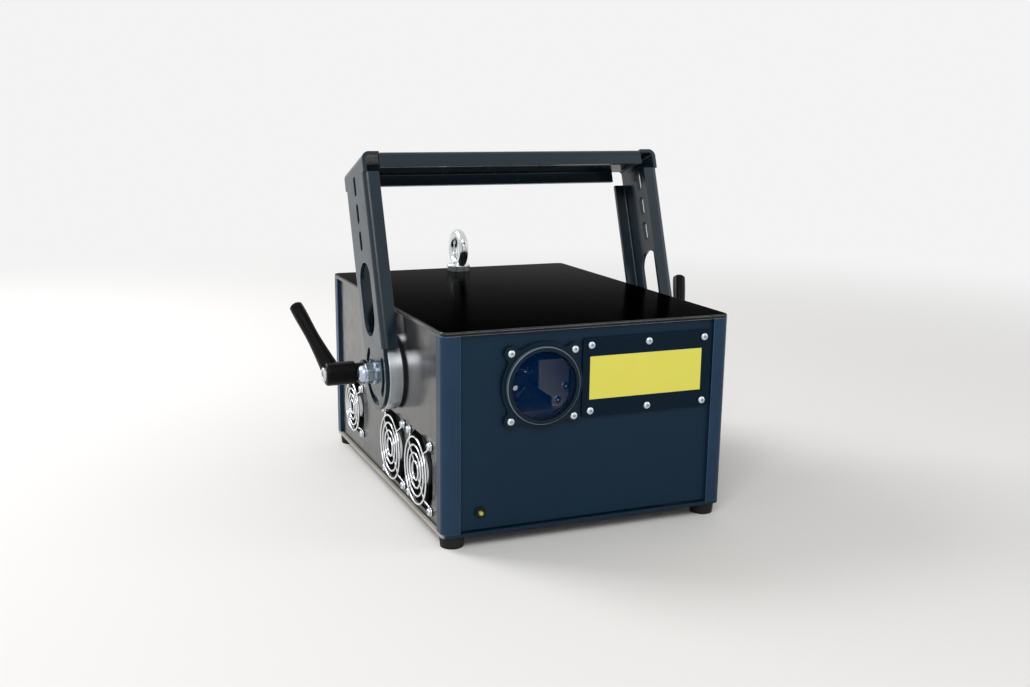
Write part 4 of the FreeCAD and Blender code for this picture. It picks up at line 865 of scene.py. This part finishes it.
def legMesh(outer, spacing):
    radius, loop, level = guard["wire"], guard["loop"], guard["standoff"] - guard["weld"]
    loopX = spacing / math.sqrt(2)
    heel = loopX - loop - 2 * radius
    inner = outer * (1 - guard["stepShare"] * (guard["rings"] - 1)) - radius
    bend = outer * guard["bendShare"]
    stops = [(inner, 0, level), (bend - guard["bendLead"], 0, level), (bend, 0, level),
             (heel, 0, radius), (heel + guard["heelReach"], 0, radius)]
    angles = (2 * math.pi * k / guard["loopSteps"] for k in range(guard["loopSteps"]))
    around = [(loopX - loop * math.cos(a), loop * math.sin(a), radius) for a in angles]
    return joined("guardLeg", [wireMesh(stops, False), wireMesh(around, True)], guard["sharp"])


def makeGuards():
    meshes = []
    for name, side in fans.items():
        outer = side * guard["outerShare"]
        rings = runTree(guardRings, None, {
            "Count": guard["rings"], "Outer": outer, "Step": outer * guard["stepShare"],
            "Height": guard["standoff"], "Wire": guard["wire"], "Finish": finishes["guardWire"]})
        legs = runTree(roundCopies, legMesh(outer, side - fanScrewInset), {
            "Count": guard["legs"], "Turn": math.pi / guard["legs"],
            "Finish": finishes["guardWire"]})
        place = Vector((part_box("left_panel")[0][0], fanMiddles[name].y, fanMiddles[name].z))
        for mesh in (rings, legs):
            mesh.transform(Matrix.Translation(place) @ facing["left"])
            meshes.append(mesh)
    linkPiece("fanGuards", joined("fanGuards", meshes, guard["sharp"]), "guardWire", "case",
              ["fan_guards"])


makeGuards()
print("guards set:", len(fans))


# Coil springs that hold the levers down on their studs
spring = {"turns": 3.4, "wire": 0.00075, "endGap": 0.0001, "pull": 0.004, "sharp": 60}


def makeSprings():
    for side, sign in (("left", -1), ("right", 1)):
        low, high = (Vector(v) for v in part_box("lever_spring_" + side))
        length = high.x - low.x
        start = spring["wire"] + spring["endGap"]
        coil = runTree(springCoil, None, {
            "Turns": spring["turns"], "Radius": (high.z - low.z) / 2 - spring["wire"],
            "Length": length - 2 * start, "Wire": spring["wire"],
            "Finish": finishes["springWire"]})
        mesh = joined("leverSpring_" + side, [coil], spring["sharp"])
        place = Vector((low.x + start, (low.y + high.y) / 2, (low.z + high.z) / 2))
        mesh.transform(Matrix.Translation(place) @ facing["right"])
        piece = linkPiece("leverSpring_" + side, mesh, "springWire", "clamp_" + side,
                          ["lever_spring_" + side])
        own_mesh(piece)


makeSprings()
print("springs set")


# Floor, world and lamps

stage = {"floorHalf": 14.0, "floorTone": (0.8, 0.79, 0.775), "darkShare": 0.98, "cloudScale": 3,
         "rough": 0.7, "specular": 0.2, "fadeFrom": 0.5, "fadeTo": 1.7, "worldLight": 0.5,
         "worldShown": 0.9}
white = (1, 1, 1, 1)


# The far floor runs into the background
def floorFinish():
    material, tree, shader = startMaterial("paleFloor")
    coords = objectCoords(tree)
    dark = scaled(stage["floorTone"], stage["darkShare"])
    cloud = noise(tree, coords, stage["cloudScale"])
    dress(tree, shader, Base_Color=blend(tree, cloud, dark, stage["floorTone"]),
          Roughness=stage["rough"], Specular_IOR_Level=stage["specular"])
    fade = addNode(tree, "ShaderNodeMapRange", {"interpolation_type": "SMOOTHSTEP"},
                   Value=vectorLength(tree, coords), From_Min=stage["fadeFrom"],
                   From_Max=stage["fadeTo"])
    glow = addNode(tree, "ShaderNodeEmission", Color=white, Strength=stage["worldShown"])
    mixed = addNode(tree, "ShaderNodeMixShader", Fac=fade.outputs["Result"])
    tree.links.new(shader.outputs["BSDF"], mixed.inputs[1])
    tree.links.new(glow.outputs["Emission"], mixed.inputs[2])
    output = tree.nodes["Material Output"]
    tree.links.new(mixed.outputs["Shader"], output.inputs["Surface"])
    return material


def makeFloor():
    mesh = bpy.data.meshes.new("floor")
    half = stage["floorHalf"]
    corners = [(-half, -half, 0), (half, -half, 0), (half, half, 0), (-half, half, 0)]
    mesh.from_pydata(corners, [], [(0, 1, 2, 3)])
    floor = bpy.data.objects.new("floor", mesh)
    bpy.context.scene.collection.objects.link(floor)
    mesh.materials.append(floorFinish())


# The world is brighter where it is seen, mirrored or looked through than where it lights
def makeWorld():
    world = bpy.data.worlds.new("studio")
    bpy.context.scene.world = world
    world.use_nodes = True
    tree = world.node_tree
    path = addNode(tree, "ShaderNodeLightPath").outputs
    seen = sums(tree, "MAXIMUM", path["Is Camera Ray"], path["Is Glossy Ray"])
    seen = sums(tree, "MAXIMUM", seen, path["Is Transmission Ray"])
    strength = addNode(tree, "ShaderNodeMapRange", Value=seen, To_Min=stage["worldLight"],
                       To_Max=stage["worldShown"])
    dress(tree, tree.nodes["Background"], Color=white, Strength=strength.outputs["Result"])


lamps = {
    "keyLamp": {"place": (-0.9, -1.5, 1.7), "aim": (0, 0, 0.13), "size": 1.1, "power": 20},
    "fillLamp": {"place": (1.6, -1.0, 0.9), "aim": (0, 0, 0.13), "size": 1.2, "power": 5},
    "floorLamp": {"place": (-1.1, 1.1, 1.2), "aim": (-0.35, 0.55, 0), "size": 0.9, "power": 24},
}


def makeLamps():
    for name, lamp in lamps.items():
        data = bpy.data.lights.new(name, "AREA")
        data.size = lamp["size"]
        data.energy = lamp["power"]
        obj = bpy.data.objects.new(name, data)
        place = Vector(lamp["place"])
        obj.location = place
        obj.rotation_euler = (Vector(lamp["aim"]) - place).to_track_quat("-Z", "Y").to_euler()
        bpy.context.scene.collection.objects.link(obj)


# The photo's camera, solved from the straight edges of the case
photoCamera = {"place": (-0.37129, -0.89225, 0.31335), "azimuth": -22.32, "elevation": 13.49,
               "roll": 0.56, "lens": 40.8, "sensor": 36, "shiftX": 0.0086, "shiftY": 0.037,
               "near": 0.01, "far": 100}


def makeCamera():
    azimuth, elevation, roll = (math.radians(photoCamera[key])
                                for key in ("azimuth", "elevation", "roll"))
    back = Vector((math.sin(azimuth) * math.cos(elevation),
                   -math.cos(azimuth) * math.cos(elevation), math.sin(elevation)))
    level = Vector((math.cos(azimuth), math.sin(azimuth), 0))
    upward = back.cross(level)
    right = level * math.cos(roll) + upward * math.sin(roll)
    up = upward * math.cos(roll) - level * math.sin(roll)
    data = bpy.data.cameras.new("photoCamera")
    data.sensor_fit = "HORIZONTAL"
    data.sensor_width = photoCamera["sensor"]
    data.lens = photoCamera["lens"]
    data.shift_x = photoCamera["shiftX"]
    data.shift_y = photoCamera["shiftY"]
    data.clip_start = photoCamera["near"]
    data.clip_end = photoCamera["far"]
    camera = bpy.data.objects.new("photoCamera", data)
    turn = Matrix((right, up, back)).transposed().to_4x4()
    camera.matrix_world = Matrix.Translation(Vector(photoCamera["place"])) @ turn
    bpy.context.scene.collection.objects.link(camera)
    bpy.context.scene.camera = camera


makeFloor()
makeWorld()
makeLamps()
makeCamera()
bpy.context.scene.view_settings.view_transform = "Standard"
print("stage, lamps and camera set")
